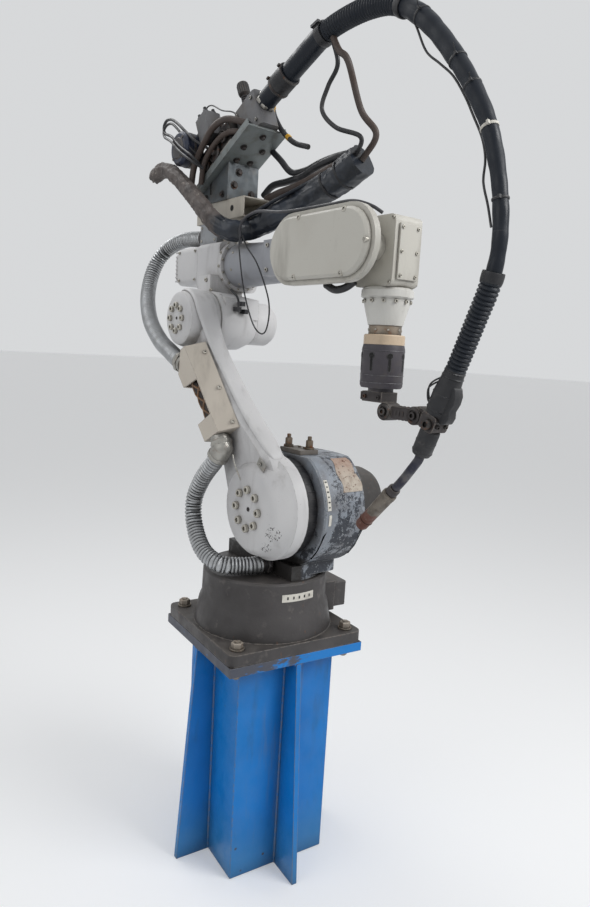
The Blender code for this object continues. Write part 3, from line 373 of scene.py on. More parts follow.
M_ARM = old_paint("arm_paint", colour(219, 218, 218), colour(194, 193, 195), 0.55, 0.35)
M_CAPSULE = old_paint("forearm_paint", BEIGE_WHITE, BEIGE_SHADE, 0.5, 0.25)
M_FOREARM = old_paint("forearm_casting_paint", BEIGE_WHITE, BEIGE_SHADE, 0.6, 0.25,
                      behind=(0.128, colour(158, 160, 166)))
M_SKIRT = old_paint("skirt_paint", colour(221, 220, 215), colour(204, 201, 194), 0.5, 0.25)
M_COVER = old_paint("cover_paint", colour(214, 205, 192), colour(196, 186, 174), 0.6, 0.5, 0.5)
M_BEIGE = old_paint("bracket_paint", colour(202, 196, 184), colour(176, 168, 156), 0.7, 0.6)
M_BLUE, M_PLATE, M_TURRET, M_NOZZLE = blue_steel(), plate_paint(), peeled_turret(), nozzle_finish()
M_BASE = base_paint("base_paint", colour(71, 68, 68))
M_DARK = base_paint("dark_paint", colour(70, 68, 70))
M_CLAMP = base_paint("clamp_paint", colour(58, 52, 52))
M_MOTOR_2 = base_paint("motor_2_paint", colour(60, 57, 55))
M_RUBBER = rubber("black_rubber", dust=0.5)
M_CABLE = rubber("cable_rubber", BLUE_BLACK, 0.4, 0.08, 0.28)
M_BROWN = rubber("brown_rubber", colour(72, 60, 54), 0.6)
M_WIRE = rubber("wire_black", colour(26, 26, 30), 0.4, 0.15)
M_LEAD = rubber("grey_lead", colour(62, 62, 66), 0.45, 0.3)
M_STEEL = metal("bare_steel")
M_RUSTY = metal("rusty_steel", colour(120, 106, 92), 0.55, 0.8)
M_BOLT = metal("bolt_steel", colour(196, 192, 182), 0.42, 0.12, 0.3, 0.005)
M_BLACK_BOLT = metal("black_bolt", colour(70, 66, 66), 0.55, 0.3)
M_ANCHOR = metal("anchor_steel", colour(168, 158, 146), 0.55, 0.25, 0.4)
M_CONDUIT = metal("conduit_metal", colour(182, 184, 186), 0.36, 0.03, 0.35, 0.008)
M_NECK = metal("neck_metal", colour(56, 57, 68), 0.3, 0.06)
M_FLANGE = metal("flange_steel", colour(150, 136, 120), 0.4, 0.4, 0.5)
M_BRACKET = plain("bracket_steel", colour(128, 134, 134), 0.42, 0.55, 0.35)
# The pillar's steel is set darker than the tray's, to the tone its front shows in shade: painted shade.
M_PILLAR_SHADED = plain("pillar_steel_shaded", colour(88, 94, 98), 0.45, 0.5, 0.3)
M_DUSTY = plain("dusty_plate", colour(118, 112, 106), 0.6, 0.6, 0.2)
M_SENSOR = plain("sensor_finish", colour(66, 62, 68))
M_INSULATOR = plain("insulator_finish", colour(208, 186, 160), 0.45, 0.3)
M_FITTING = plain("fitting_grey", colour(104, 104, 106), 0.45, 0.5, 0.3)
M_BOX = plain("cable_box_grey", colour(156, 159, 163), 0.45, 0.5)
M_MOTOR = plain("motor_blue", colour(30, 40, 62), 0.4)
M_TIE = plain("tie_white", colour(206, 202, 192))
M_YELLOW = plain("fitting_yellow", colour(208, 158, 32), 0.45, 0.5)
M_PAPER = plain("sticker_paper", colour(222, 218, 208), 0.6, 0.35)
# Near-black: print of small marks, and painted shade inside holes, slots and mouths.
M_BLACK_PRINT_AND_HOLE_SHADE = plain("black_print_and_hole_shade", colour(20, 19, 19), 0.8, 0.1)


# Mesh tools

def soften(obj, width, segments=2):
    """Rounds the sharp edges of a piece by a modifier, which leaves a CAD mesh as it is."""
    mod = obj.modifiers.new("soft_edges", "BEVEL")
    mod.width, mod.segments, mod.limit_method = width, segments, "ANGLE"
    mod.angle_limit = math.radians(35)
    mod.harden_normals = True


def axes_for(way):
    """Matrix whose third column is a direction."""
    return Vector(way).normalized().to_track_quat("Z", "Y").to_matrix()


def place_of(centre, way):
    return Matrix.Translation(centre) @ axes_for(way).to_4x4()


def at(x, y, z):
    return Matrix.Translation((x, y, z))


def disc(radius, high, top=None):
    """Profile of a short cylinder or cone."""
    return [(0, 0), (radius, 0), (top or radius, high), (0, high)]


def hoop(inner, radius, half, bulge):
    """Profile of a ring that stands proud in its middle."""
    return [(inner, -half), (radius, -half), (radius + bulge, 0), (radius, half), (inner, half)]


def round_of(centre, way, reach, count, start=0):
    turn = axes_for(way)
    angles = [start + TURN * i / count for i in range(count)]
    return [Vector(centre) + turn @ Vector((reach * math.cos(a), reach * math.sin(a), 0)) for a in angles]


def ahead_at(route, i, reach=1):
    return (route[min(i + reach, len(route) - 1)] - route[max(i - reach, 0)]).normalized()


def tube_rings(route, radii, sides):
    side = (route[1] - route[0]).normalized().orthogonal().normalized()
    rings = []
    for i, (point, radius) in enumerate(zip(route, radii)):
        ahead = ahead_at(route, i)
        side = (side - ahead * side.dot(ahead)).normalized()
        other = ahead.cross(side)
        rings.append([point + (side * math.cos(TURN * k / sides) + other * math.sin(TURN * k / sides)) * radius
                      for k in range(sides)])
    return rings


class Shape:
    """A mesh in the making. Each call adds to it and gives it back, and piece() ends it."""

    def __init__(self):
        self.bm = bmesh.new()

    def skin(self, rings, closed=True, caps=False):
        """Faces between rows of points, where a row of one point is a tip."""
        rows = [[self.bm.verts.new(point) for point in ring] for ring in rings]
        for low, top in zip(rows, rows[1:]):
            steps = max(len(low), len(top))
            for i in range(steps if closed else steps - 1):
                j = (i + 1) % steps
                corners = (low[i % len(low)], low[j % len(low)], top[j % len(top)], top[i % len(top)])
                corners = list(dict.fromkeys(corners))
                if len(corners) > 2:
                    self.bm.faces.new(corners)
        if caps:
            self.bm.faces.new(rows[0])
            self.bm.faces.new(list(reversed(rows[-1])))
        return self

    def lathe(self, profile, centre, way, steps=32):
        """Turned solid: (radius, height) rows from its low end to its high end, round a way from a centre."""
        place = place_of(centre, way)
        return self.skin([[place @ Vector((radius * math.cos(TURN * i / steps), radius * math.sin(TURN * i / steps),
                                           high)) for i in range(steps if radius else 1)]
                          for radius, high in profile])

    def tube(self, route, radius, sides=16):
        """Closed tube through the points, with one radius or one for each point."""
        radii = radius if isinstance(radius, list) else [radius] * len(route)
        return self.skin(tube_rings(route, radii, sides), caps=True)

    def box(self, size, place):
        """Box of a size (x, y, z), turned and put by a 4x4 matrix."""
        verts = bmesh.ops.create_cube(self.bm, size=1.0)["verts"]
        bmesh.ops.transform(self.bm, matrix=place @ Matrix.Diagonal((*size, 1)), verts=verts)
        return self

    def prism(self, outline, way, half):
        return self.skin([[point + way * side for point in outline] for side in (-half, half)], caps=True)

    def bolts(self, kind, places, way, *sizes):
        for place in places:
            kind(self, place, way, *sizes)
        return self

    def ring(self, kind, centre, way, reach, count, start, *sizes, outward=False):
        """Bolts in a circle, along its axis or outward from it."""
        for place in round_of(centre, way, reach, count, start):
            kind(self, place, place - Vector(centre) if outward else way, *sizes)
        return self

    def made(self, name, mat):
        data = bpy.data.meshes.new(name)
        self.bm.to_mesh(data)
        self.bm.free()
        data.materials.append(mat)
        obj = bpy.data.objects.new(name, data)
        bpy.context.scene.collection.objects.link(obj)
        return obj

    def piece(self, name, mat, body, bevel=0, sharp=True):
        bmesh.ops.recalc_face_normals(self.bm, faces=self.bm.faces)
        obj = self.made(name, mat)
        obj.data.shade_smooth()
        if sharp:
            obj.data.set_sharp_from_angle(angle=math.radians(38))
        if bevel:
            soften(obj, bevel)
        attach(obj, body)
        return obj


def socket_bolt(shape, centre, way, radius, high, steps=18):
    """Cap screw: chamfered head with a hexagon socket."""
    sock = radius * 0.52
    shape.lathe([(0, 0), (radius, 0), (radius, high * 0.86), (radius * 0.9, high), (sock, high),
                 (sock, high * 0.45), (0, high * 0.4)], centre, way, steps)


def hex_bolt(shape, centre, way, radius, high, washer=1.5):
    """Hexagon head on a round washer."""
    shape.lathe(disc(radius * washer, high * 0.22), centre, way, 24)
    lift = Vector(centre) + Vector(way).normalized() * high * 0.22
    shape.lathe([(0, 0), (radius, 0), (radius, high * 0.62), (radius * 0.86, high * 0.72), (0, high * 0.74)],
                lift, way, 6)


def pan_screw(shape, centre, way, radius, high):
    """Round head with a slot pressed in."""
    shape.lathe([(0, 0), (radius, 0), (radius * 0.98, high * 0.4), (radius * 0.75, high * 0.85),
                 (radius * 0.34, high), (radius * 0.22, high * 0.5), (0, high * 0.45)], centre, way, 16)


def smooth_route(points, step):
    knots = [Vector(p) for p in points]
    knots = [2 * knots[0] - knots[1]] + knots + [2 * knots[-1] - knots[-2]]
    route = []
    for a, b, c, d in zip(knots, knots[1:], knots[2:], knots[3:]):
        pieces = max(1, math.ceil((c - b).length / step))
        for i in range(pieces):
            t = i / pieces
            route.append(0.5 * (2 * b + (c - a) * t + (2 * a - 5 * b + 4 * c - d) * t * t
                                + (3 * b - a - 3 * c + d) * t * t * t))
    return route + [knots[-2]]


def even_route(points, step):
    """The same line cut into equal steps, and how far along each point lies."""
    lengths = [0]
    for a, b in zip(points, points[1:]):
        lengths.append(lengths[-1] + (b - a).length)
    count = max(2, round(lengths[-1] / step))
    route, where, k = [], [lengths[-1] * i / count for i in range(count + 1)], 0
    for far in where:
        while k < len(points) - 2 and lengths[k + 1] < far:
            k += 1
        share = (far - lengths[k]) / max(1e-9, lengths[k + 1] - lengths[k])
        route.append(points[k].lerp(points[k + 1], min(1, share)))
    return route, where


def hose(name, points, radius, mat, body, sides=14, cut=0.006):
    """Even tube along a smooth line through the points."""
    route = even_route(smooth_route(points, cut), 0.006)[0]
    return Shape().tube(route, radius, sides).piece(name, mat, body)


def plain_hoses(rows):
    for name, mat, radius, sides, cut, points in rows:
        hose(name, points, radius, mat, "elbow", sides, cut)


def crossing(obj, stands_for, one, two, start, end):
    """Takes a hose off its body, with its place baked into its mesh, and lets it stand for its plain CAD bar."""
    world = obj.matrix_world.copy()
    obj.parent = None
    obj.matrix_world = world
    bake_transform(obj)
    if stands_for:
        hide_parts(*stands_for)


def arm_frame():
    along = Vector((J3_X - J2_X, 0, J3_Z - J2_Z)).normalized()
    return along, Vector((along.z, 0, -along.x))


def arm_point(station, across, y):
    """Point of the lower arm: how far up from joint 2, how far forward, and its y."""
    along, front = arm_frame()
    point = Vector((J2_X, 0, J2_Z)) + along * station + front * across
    return Vector((point.x, y, point.z))


def on_torch(x, z, y=0):
    return TORCH @ Vector((x, y, z))


def on_tray(u, v, w):
    return TRAY @ Vector((u, v, w))


# Camera, light and ground

FLOOR_GLOW = 0.24
PHOTO_HIGH, CAMERA_FOCAL, CAMERA_PLACE = 907, 700.5, (1.5349, -1.0881, 1.4048)
CAMERA_AZIMUTH, CAMERA_DROP, CAMERA_ROLL = 52.67, 8.38, 3.24


def make_camera():
    data = bpy.data.cameras.new("camera")
    data.sensor_fit, data.sensor_height, data.clip_start = "VERTICAL", 36, 0.05
    data.lens = CAMERA_FOCAL / PHOTO_HIGH * data.sensor_height
    obj = bpy.data.objects.new("camera", data)
    bpy.context.scene.collection.objects.link(obj)
    obj.matrix_world = Matrix.Translation(CAMERA_PLACE)
    for angle, axis in ((CAMERA_AZIMUTH, "Z"), (90 - CAMERA_DROP, "X"), (CAMERA_ROLL, "Z")):
        obj.matrix_world = obj.matrix_world @ Matrix.Rotation(math.radians(angle), 4, axis)
    bpy.context.scene.camera = obj


def area_light(name, place, aim, size, power):
    data = bpy.data.lights.new(name, "AREA")
    data.shape, data.size, data.energy = "DISK", size, power
    obj = bpy.data.objects.new(name, data)
    obj.matrix_world = place_of(place, Vector(place) - Vector(aim))
    bpy.context.scene.collection.objects.link(obj)


def shown_rays(tree):
    """1 for rays from the camera, and for those that metal and glass send on."""
    path = tree.nodes.new("ShaderNodeLightPath")
    shown = path.outputs["Is Camera Ray"]
    for name in ("Is Glossy Ray", "Is Transmission Ray"):
        node = tree.nodes.new("ShaderNodeMath")
        node.operation = "MAXIMUM"
        tree.links.new(shown, node.inputs[0])
        tree.links.new(path.outputs[name], node.inputs[1])
        shown = node.outputs["Value"]
    return shown


def make_studio():
    scene = bpy.context.scene
    scene.view_settings.view_transform = "Standard"
    scene.world = bpy.data.worlds.new("studio")
    scene.world.use_nodes = True
    tree = scene.world.node_tree
    light, seen = tree.nodes["Background"], tree.nodes.new("ShaderNodeBackground")
    light.inputs["Color"].default_value = (0.97, 0.985, 1, 1)
    light.inputs["Strength"].default_value = 0.44
    seen.inputs["Color"].default_value = (0.68, 0.69, 0.7, 1)
    mix = tree.nodes.new("ShaderNodeMixShader")
    tree.links.new(shown_rays(tree), mix.inputs["Fac"])
    tree.links.new(light.outputs["Background"], mix.inputs[1])
    tree.links.new(seen.outputs["Background"], mix.inputs[2])
    tree.links.new(mix.outputs["Shader"], tree.nodes["World Output"].inputs["Surface"])
    area_light("key", (2.3, 1.1, 3.1), (0.1, 0, 1.3), 1.8, 57)
    area_light("fill", (0.2, -2.8, 2.6), (0, 0, 1.2), 2.4, 13)
    area_light("top", (-1.6, -0.4, 3.6), (0, 0, 1.5), 1.6, 20)
    shape = Shape()
    bmesh.ops.create_grid(shape.bm, x_segments=1, y_segments=1, size=60.0)
    floor = shape.made("studio_floor", floor_finish())


def floor_finish():
    """Pale floor that adds a little of its own white for the camera, and keeps the shadow."""
    f = Finish("floor_finish", colour(226, 227, 228), 0.8)
    f.grain(0.02, 3, 0.0004, 0.2)
    mat = f.done()
    glow = f.add("Emission", {"Strength": f.times(shown_rays(mat.node_tree), FLOOR_GLOW)})["Emission"]
    both = f.add("AddShader", {0: f.shader.outputs["BSDF"], 1: glow})["Shader"]
    f.links.new(both, f.nodes["Material Output"].inputs["Surface"])
    return mat


# Finishes and softened edges of the frame's own nodes

NODE_FINISH = {
    M_BLUE: "pedestal_column pedestal_fin_front pedestal_fin_right pedestal_fin_back pedestal_fin_left",
    M_BASE: "base_casting base_connector_box", M_PLATE: "pedestal_top_plate", M_TURRET: "turret_casting",
    M_MOTOR_2: "joint_2_motor_cover", M_RUBBER: "joint_2_seal torch_handle torch_barrel",
    M_DUSTY: "lifting_plate", M_BRACKET: "feeder_tray", M_PILLAR_SHADED: "feeder_pillar", M_BEIGE: "feeder_channel",
    M_ARM: "lower_arm elbow_casting joint_3_motor_cover joint_4_motor_cover joint_4_flange",
    M_COVER: "cable_cover", M_FOREARM: "forearm_casting", M_CAPSULE: "forearm_lid wrist_housing wrist_cover",
    M_SKIRT: "wrist_skirt", M_STEEL: "lower_arm_gland upper_arm_gland", M_FLANGE: "tool_flange",
    M_DARK: "lower_conduit_fitting elbow_cable_gland", M_CLAMP: "torch_bracket torch_holder",
    M_NECK: "torch_neck", M_BOX: "elbow_cable_box", M_FITTING: "feeder_head feeder_wire_inlet",
    M_INSULATOR: "insulating_ring", M_SENSOR: "shock_sensor", M_NOZZLE: "torch_nozzle", M_MOTOR: "feeder_motor",
    M_BLACK_BOLT: "feeder_knob feeder_rolls",
}
SOFT_EDGES = {
    0.004: "pedestal_column base_casting base_connector_box turret_casting lower_arm wrist_housing torch_holder "
           "feeder_head",
    0.003: "elbow_casting forearm_casting torch_bracket feeder_rolls", 0.0025: "forearm_lid",
    0.002: "cable_cover shock_sensor", 0.001: "feeder_channel feeder_pillar feeder_tray",
}
SOFT_DEFAULT, MERGE_FLAT = 0.0015, "elbow_casting"


def dress_nodes():
    widths = {name: width for width, names in SOFT_EDGES.items() for name in names.split()}
    for name, mat in ((name, mat) for mat, names in NODE_FINISH.items() for name in names.split()):
        node = NODES[name]
        node.data.materials.clear()
        node.data.materials.append(mat)
        node.data.shade_smooth()
        if "custom_normal" in node.data.attributes:
            node.data.attributes.remove(node.data.attributes["custom_normal"])
        node.modifiers.new("weld_seams", "WELD").merge_threshold = 0.00002
        if name == MERGE_FLAT:
            merge = node.modifiers.new("merge_flat_faces", "DECIMATE")
            merge.decimate_type, merge.angle_limit = "DISSOLVE", math.radians(0.6)
        soften(node, widths.get(name, SOFT_DEFAULT), 3)


# Conduits and torch cable

RIB = (0, 0.72, 1, 0.72)
CONDUIT_RADIUS, CONDUIT_PITCH, CONDUIT_DEPTH = 0.0235, 0.0094, 0.0042
LOWER_CONDUIT = [(0.06, -0.0583, 0.838), (0.06, -0.0783, 0.838), (0.05, -0.11, 0.838), (0.025, -0.16, 0.843),
                 (-0.035, -0.178, 0.866), (-0.096, -0.173, 0.92), (-0.118, -0.165, 0.985), (-0.088, -0.158, 1.05)]
UPPER_CONDUIT = [(-0.26, -0.178, 1.382), (-0.34, -0.17, 1.41), (-0.47, -0.142, 1.472), (-0.58, -0.1, 1.553),
                 (-0.6245, -0.06, 1.64), (-0.6, -0.03, 1.7), (-0.52, -0.008, 1.728), (-0.4183, 0, 1.724),
                 (-0.3983, 0, 1.724)]
GLAND_HALF, STUB = 0.015, 0.02


def conduit(name, points, node, one, two, body, start, end):
    """Corrugated tube, four rings to a rib, that stands for its plain CAD bar."""
    route = even_route(smooth_route(points, 0.02), CONDUIT_PITCH / 4)[0]
    radii = [CONDUIT_RADIUS - CONDUIT_DEPTH * (1 - RIB[i % 4]) for i in range(len(route))]
    crossing(Shape().tube(route, radii, 20).piece(name, M_CONDUIT, body), (node,), one, two, start, end)


def conduits():
    along, front = arm_frame()
    low_gland, top_gland = (sum(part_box(name), Vector()) / 2 for name in ("lower_arm_gland", "upper_arm_gland"))
    elbow = low_gland - along * (GLAND_HALF + 0.004)
    down = Vector((-0.6, -0.1, -0.79)).normalized()
    angles = [math.pi * k / 12 for k in range(13)]
    ball = [(0.0275 * math.sin(a) if 0 < a < angles[-1] else 0, -0.0275 * math.cos(a)) for a in angles]
    rim = [(0, 0.016), (0.027, 0.016), (0.027, 0.022), (0.029, 0.023), (0.029, 0.033), (0.027, 0.034), (0, 0.034)]
    shape = Shape().lathe(ball, elbow, down).lathe(rim, elbow, down).lathe(disc(0.0272, 0.018), elbow, down)
    shape.lathe(disc(0.0272, 0.014), elbow, along).piece("lower_gland_elbow", M_STEEL, "lower_arm", 0.0006)
    end = elbow + down * 0.03
    conduit("corrugated_conduit_lower", LOWER_CONDUIT + [end + down * STUB, end], "lower_conduit", "turret",
            "lower_arm", "turret", (0.05, -0.11, 0.838), (-0.08, -0.16, 1.08))
    way = (along - front).normalized()
    start = top_gland + way * (GLAND_HALF + 0.0003)
    conduit("corrugated_conduit_upper", [start, start + way * STUB] + UPPER_CONDUIT, "upper_conduit", "lower_arm",
            "elbow", "elbow", (-0.26, -0.17, 1.375), (-0.26, -0.17, 1.72))
    for name, centre, way in (("lower_gland_nut", low_gland - along * 0.006, along),
                              ("upper_gland_nut", start - way * 0.01, way)):
        nut = [(0, -0.006), (0.0285, -0.006), (0.03, -0.003), (0.03, 0.006), (0, 0.006)]
        neck = [(0, 0.006), (0.0265, 0.006), (0.0265, 0.012), (0, 0.012)]
        Shape().lathe(nut, centre, way, 8).lathe(neck, centre, way).piece(name, M_STEEL, "lower_arm", 0.0008)


TORCH_CABLE = [(0.0769, 0, 2.1241), (0.1411, 0, 2.147), (0.2203, 0, 2.1541), (0.3, 0, 2.15), (0.37, 0, 2.133),
               (0.4411, 0, 2.088), (0.498, 0, 2.035), (0.5653, 0, 1.9548), (0.608, 0, 1.893), (0.6412, 0, 1.8353),
               (0.67, 0, 1.755), (0.686, 0, 1.68), (0.69, 0, 1.61), (0.678, 0, 1.545)]
HEAD_FACE, CABLE_RISE, CABLE_BEND = 0.1653, 0.067, (-0.001, 0.2213)
CABLE_END_RISE = BLOCK_TOP + HANDLE_LONG + 0.0006
CABLE_PITCH, CABLE_DEPTH = 0.0088, 0.0032
RUBBER_TUBE, REAR_RIBS, MIDDLE_WIDE, MIDDLE_THIN, FRONT_RIBS = 0.0255, 0.024, 0.0205, 0.015, 0.0215
COLLAR, COUPLER_X, REAR_RIBS_END_X, FRONT_RIBS_START_Z = 0.03, 0.13, 0.392, 1.56
REAR_SPLIT_X, FRONT_SPLIT_Z = 0.3, 1.64


def past_x(route, x):
    return next(i for i, point in enumerate(route) if point.x > x)


def below_z(route, z):
    """First place below a height, on the cable's way down to the torch."""
    return next(i for i, point in enumerate(route) if point.x > 0.6 and point.z < z)


def torch_cable():
    """Rubber tube and corrugated guard at the feeder, smooth cable over the top, corrugated guard at the torch."""
    points = [on_tray(HEAD_FACE, 0, CABLE_RISE), on_tray(HEAD_FACE + STUB, 0, CABLE_RISE)] + TORCH_CABLE
    points += [on_torch(*CABLE_BEND), on_torch(0, CABLE_END_RISE + STUB), on_torch(0, CABLE_END_RISE)]
    route, where = even_route(smooth_route(points, 0.03), CABLE_PITCH / 4)
    coupler, ribs_end = past_x(route, COUPLER_X), past_x(route, REAR_RIBS_END_X)
    front = below_z(route, FRONT_RIBS_START_Z)
    radii = []
    for i, far in enumerate(where):
        rib = CABLE_DEPTH * (RIB[i % 4] - 1)
        if i < coupler:
            radius = RUBBER_TUBE
        elif i < ribs_end:
            radius = REAR_RIBS + rib
        elif i < front:
            share = (far - where[ribs_end]) / (where[front] - where[ribs_end])
            radius = MIDDLE_WIDE + (MIDDLE_THIN - MIDDLE_WIDE) * min(1, share * 1.3)
            radius += 0.0007 * math.sin(far * 90) * math.sin(far * 37)
        else:
            radius = FRONT_RIBS + rib
        radii.append(radius)
    cuts = [0, past_x(route, REAR_SPLIT_X), below_z(route, FRONT_SPLIT_Z), len(route) - 1]
    rows = (("torch_cable_guard_rear", "torch_cable_rear", "elbow", "forearm"),
            ("torch_cable_smooth_length", "torch_cable_middle", "forearm", "wrist"),
            ("torch_cable_guard_front", "torch_cable_front", "wrist", "tool"))
    spans = {}
    for (name, node, one, two), low, top in zip(rows, cuts, cuts[1:]):
        obj = Shape().tube(route[low:top + 1], radii[low:top + 1], 20).piece(name, M_CABLE, two)
        spans[two] = (one, two, route[low].copy(), route[top].copy())
        crossing(obj, (node,), *spans[two])
    return route, spans


def cable_bands(route, spans):
    """Collars, hose clamps and ties on the torch cable, some with a lock and some with a loose tail."""
    rows = (("cable_collar", past_x(route, -0.02), COLLAR, 0.056, M_RUBBER, "forearm", 0, 0),
            ("collar_clamp_low", past_x(route, -0.04), COLLAR + 0.001, 0.006, M_BLACK_BOLT, "forearm", 0.006, 0),
            ("collar_clamp_high", past_x(route, 0), COLLAR + 0.001, 0.006, M_BLACK_BOLT, "forearm", 0.006, 0),
            ("cable_coupler", past_x(route, COUPLER_X), 0.0278, 0.02, M_RUBBER, "forearm", 0.008, 0),
            ("cable_guard_end_rear", past_x(route, REAR_RIBS_END_X), 0.0245, 0.016, M_RUBBER, "wrist", 0, 0),
            ("cable_tie_one", past_x(route, 0.448), 0.0206, 0.005, M_RUBBER, "wrist", 0.006, 0.02),
            ("cable_tie_two", past_x(route, 0.552), 0.0188, 0.005, M_RUBBER, "wrist", 0.006, 0.034),
            ("cable_tie_three", past_x(route, 0.594), 0.018, 0.005, M_RUBBER, "wrist", 0.006, 0.026),
            ("cable_tie_pale", past_x(route, 0.6425), 0.0172, 0.006, M_TIE, "wrist", 0.006, 0),
            ("cable_tie_four", below_z(route, 1.7), 0.016, 0.005, M_RUBBER, "wrist", 0.006, 0.018),
            ("cable_guard_end_front", below_z(route, FRONT_RIBS_START_Z), 0.0215, 0.02, M_RUBBER, "tool", 0, 0))
    for name, i, radius, wide, mat, two, lock, tail in rows:
        way = ahead_at(route, i, 2)
        inner, proud = radius * 0.9, radius + 0.0006
        shape = Shape().lathe([(inner, -wide / 2), (radius, -wide / 2), (proud, -wide / 4), (proud, wide / 4),
                               (radius, wide / 2), (inner, wide / 2)], route[i], way)
        face = (SIDE - way.cross(SIDE).normalized() * 0.6).normalized()
        if lock:
            shape.box((lock, lock * 0.8, wide * 1.4), place_of(route[i] + face * (radius + lock * 0.35), way))
        if tail:
            start = route[i] + face * (radius + lock * 0.4)
            points = [start, start + face * tail * 0.5 + way * 0.002, start + face * tail + way * tail * 0.25]
            shape.tube(smooth_route(points, 0.004), 0.0011, 6)
        crossing(shape.piece(name, mat, two, 0.0003), (), *spans[two])


# Hoses, leads and the loose sleeve

BUNDLE = [(-0.1196, -0.06, 1.711), (-0.1072, -0.015, 1.7258), (-0.014, 0, 1.7521), (0.03, 0.03, 1.779),
          (0.0783, 0.055, 1.8062), (0.1301, 0.075, 1.8335), (0.1968, 0.085, 1.8667)]
FEED_SLEEVE = [(-0.51, -0.12, 1.895), (-0.4427, -0.12, 1.9075), (-0.3648, -0.12, 1.8758),
               (-0.2595, -0.118, 1.8068), (-0.182, -0.108, 1.742), (-0.145, -0.086, 1.716)]
BUNDLE_LONG, TIES_BACK = 0.36, ((0.0385, 0.11), (0.0345, 0.19))
SLEEVE_RADII = [(-0.52, 0.018), (-0.495, 0.0235), (-0.26, 0.0255), (-0.12, 0.03), (0.2, 0.043)]
GAS_HOSE = [(0.1968, 0.085, 1.8667), (0.238, 0.088, 1.918), (0.21, 0.06, 1.9715), (0.2122, 0.01, 2.0646),
            (0.19, 0, 2.09), (0.165, 0, 2.1262)]
SECOND_HOSE = [(0.185, 0.07, 1.87), (0.228, 0.05, 1.905), (0.15, 0.035, 1.94), (0.104, 0.026, 1.988),
               (0.128, 0.022, 2.035), (0.172, 0.012, 2.07), (0.16, 0, 2.128)]
GAS_JOIN_SHARE = 0.395
LEAD_ON_CABLE = [(0.405, 0, 2.106), (0.432, 0, 2.07), (0.466, 0, 2.012), (0.506, 0, 1.978), (0.544, 0, 1.945),
                 (0.578, 0, 1.9), (0.601, 0, 1.862), (0.628, 0, 1.815), (0.64, 0, 1.775), (0.64, 0, 1.735),
                 (0.656, 0, 1.69), (0.668, 0, 1.65)]
OVER_FOREARM = [(-0.1, -0.062, 1.676), (-0.092, -0.072, 1.712), (-0.06, -0.08, 1.732), (0.01, -0.1, 1.736),
                (0.08, -0.118, 1.73), (0.16, -0.122, 1.718), (0.24, -0.12, 1.7145), (0.33, -0.116, 1.7142),
                (0.4, -0.112, 1.7135), (0.44, -0.096, 1.702), (0.452, -0.074, 1.69)]
OPEN_HOSE = [(-0.098, 0.02, 2.03), (-0.092, 0.024, 2.01), (-0.062, 0.028, 1.972), (-0.01, 0.03, 1.934),
             (0.052, 0.03, 1.912)]
# Each with its finish, radius, sides, step of the smooth line and points
UPPER_HOSES = [
    ("upper_hose_one", M_RUBBER, 0.0095, 14, 0.01,
     [(-0.184, 0.06, 1.83), (-0.141, 0.06, 1.851), (-0.071, 0.06, 1.852), (-0.004, 0.06, 1.855),
      (0.045, 0.06, 1.868), (0.104, 0.062, 1.878), (0.164, 0.07, 1.884), (0.192, 0.078, 1.882)]),
    ("upper_hose_two", M_BROWN, 0.0105, 14, 0.01,
     [(-0.14, 0.042, 1.812), (-0.084, 0.042, 1.82), (-0.017, 0.044, 1.826), (0.038, 0.045, 1.834),
      (0.094, 0.05, 1.848), (0.151, 0.06, 1.862), (0.19, 0.072, 1.87)]),
    ("upper_hose_three", M_RUBBER, 0.0085, 14, 0.01,
     [(-0.135, 0.05, 1.938), (-0.104, 0.056, 1.912), (-0.065, 0.066, 1.876), (-0.013, 0.074, 1.874),
      (0.044, 0.076, 1.884), (0.108, 0.08, 1.89), (0.185, 0.084, 1.888)]),
]
HANGING_LEAD = [
    ("hanging_lead", M_WIRE, 0.00192, 8, 0.01,
     [(-0.085, -0.072, 1.69), (-0.066, -0.088, 1.66), (-0.028, -0.092, 1.551), (0.021, -0.092, 1.466),
      (0.062, -0.09, 1.44), (0.082, -0.088, 1.463), (0.078, -0.086, 1.523), (0.022, -0.086, 1.611),
      (-0.04, -0.082, 1.662), (-0.08, -0.07, 1.695)]),
]
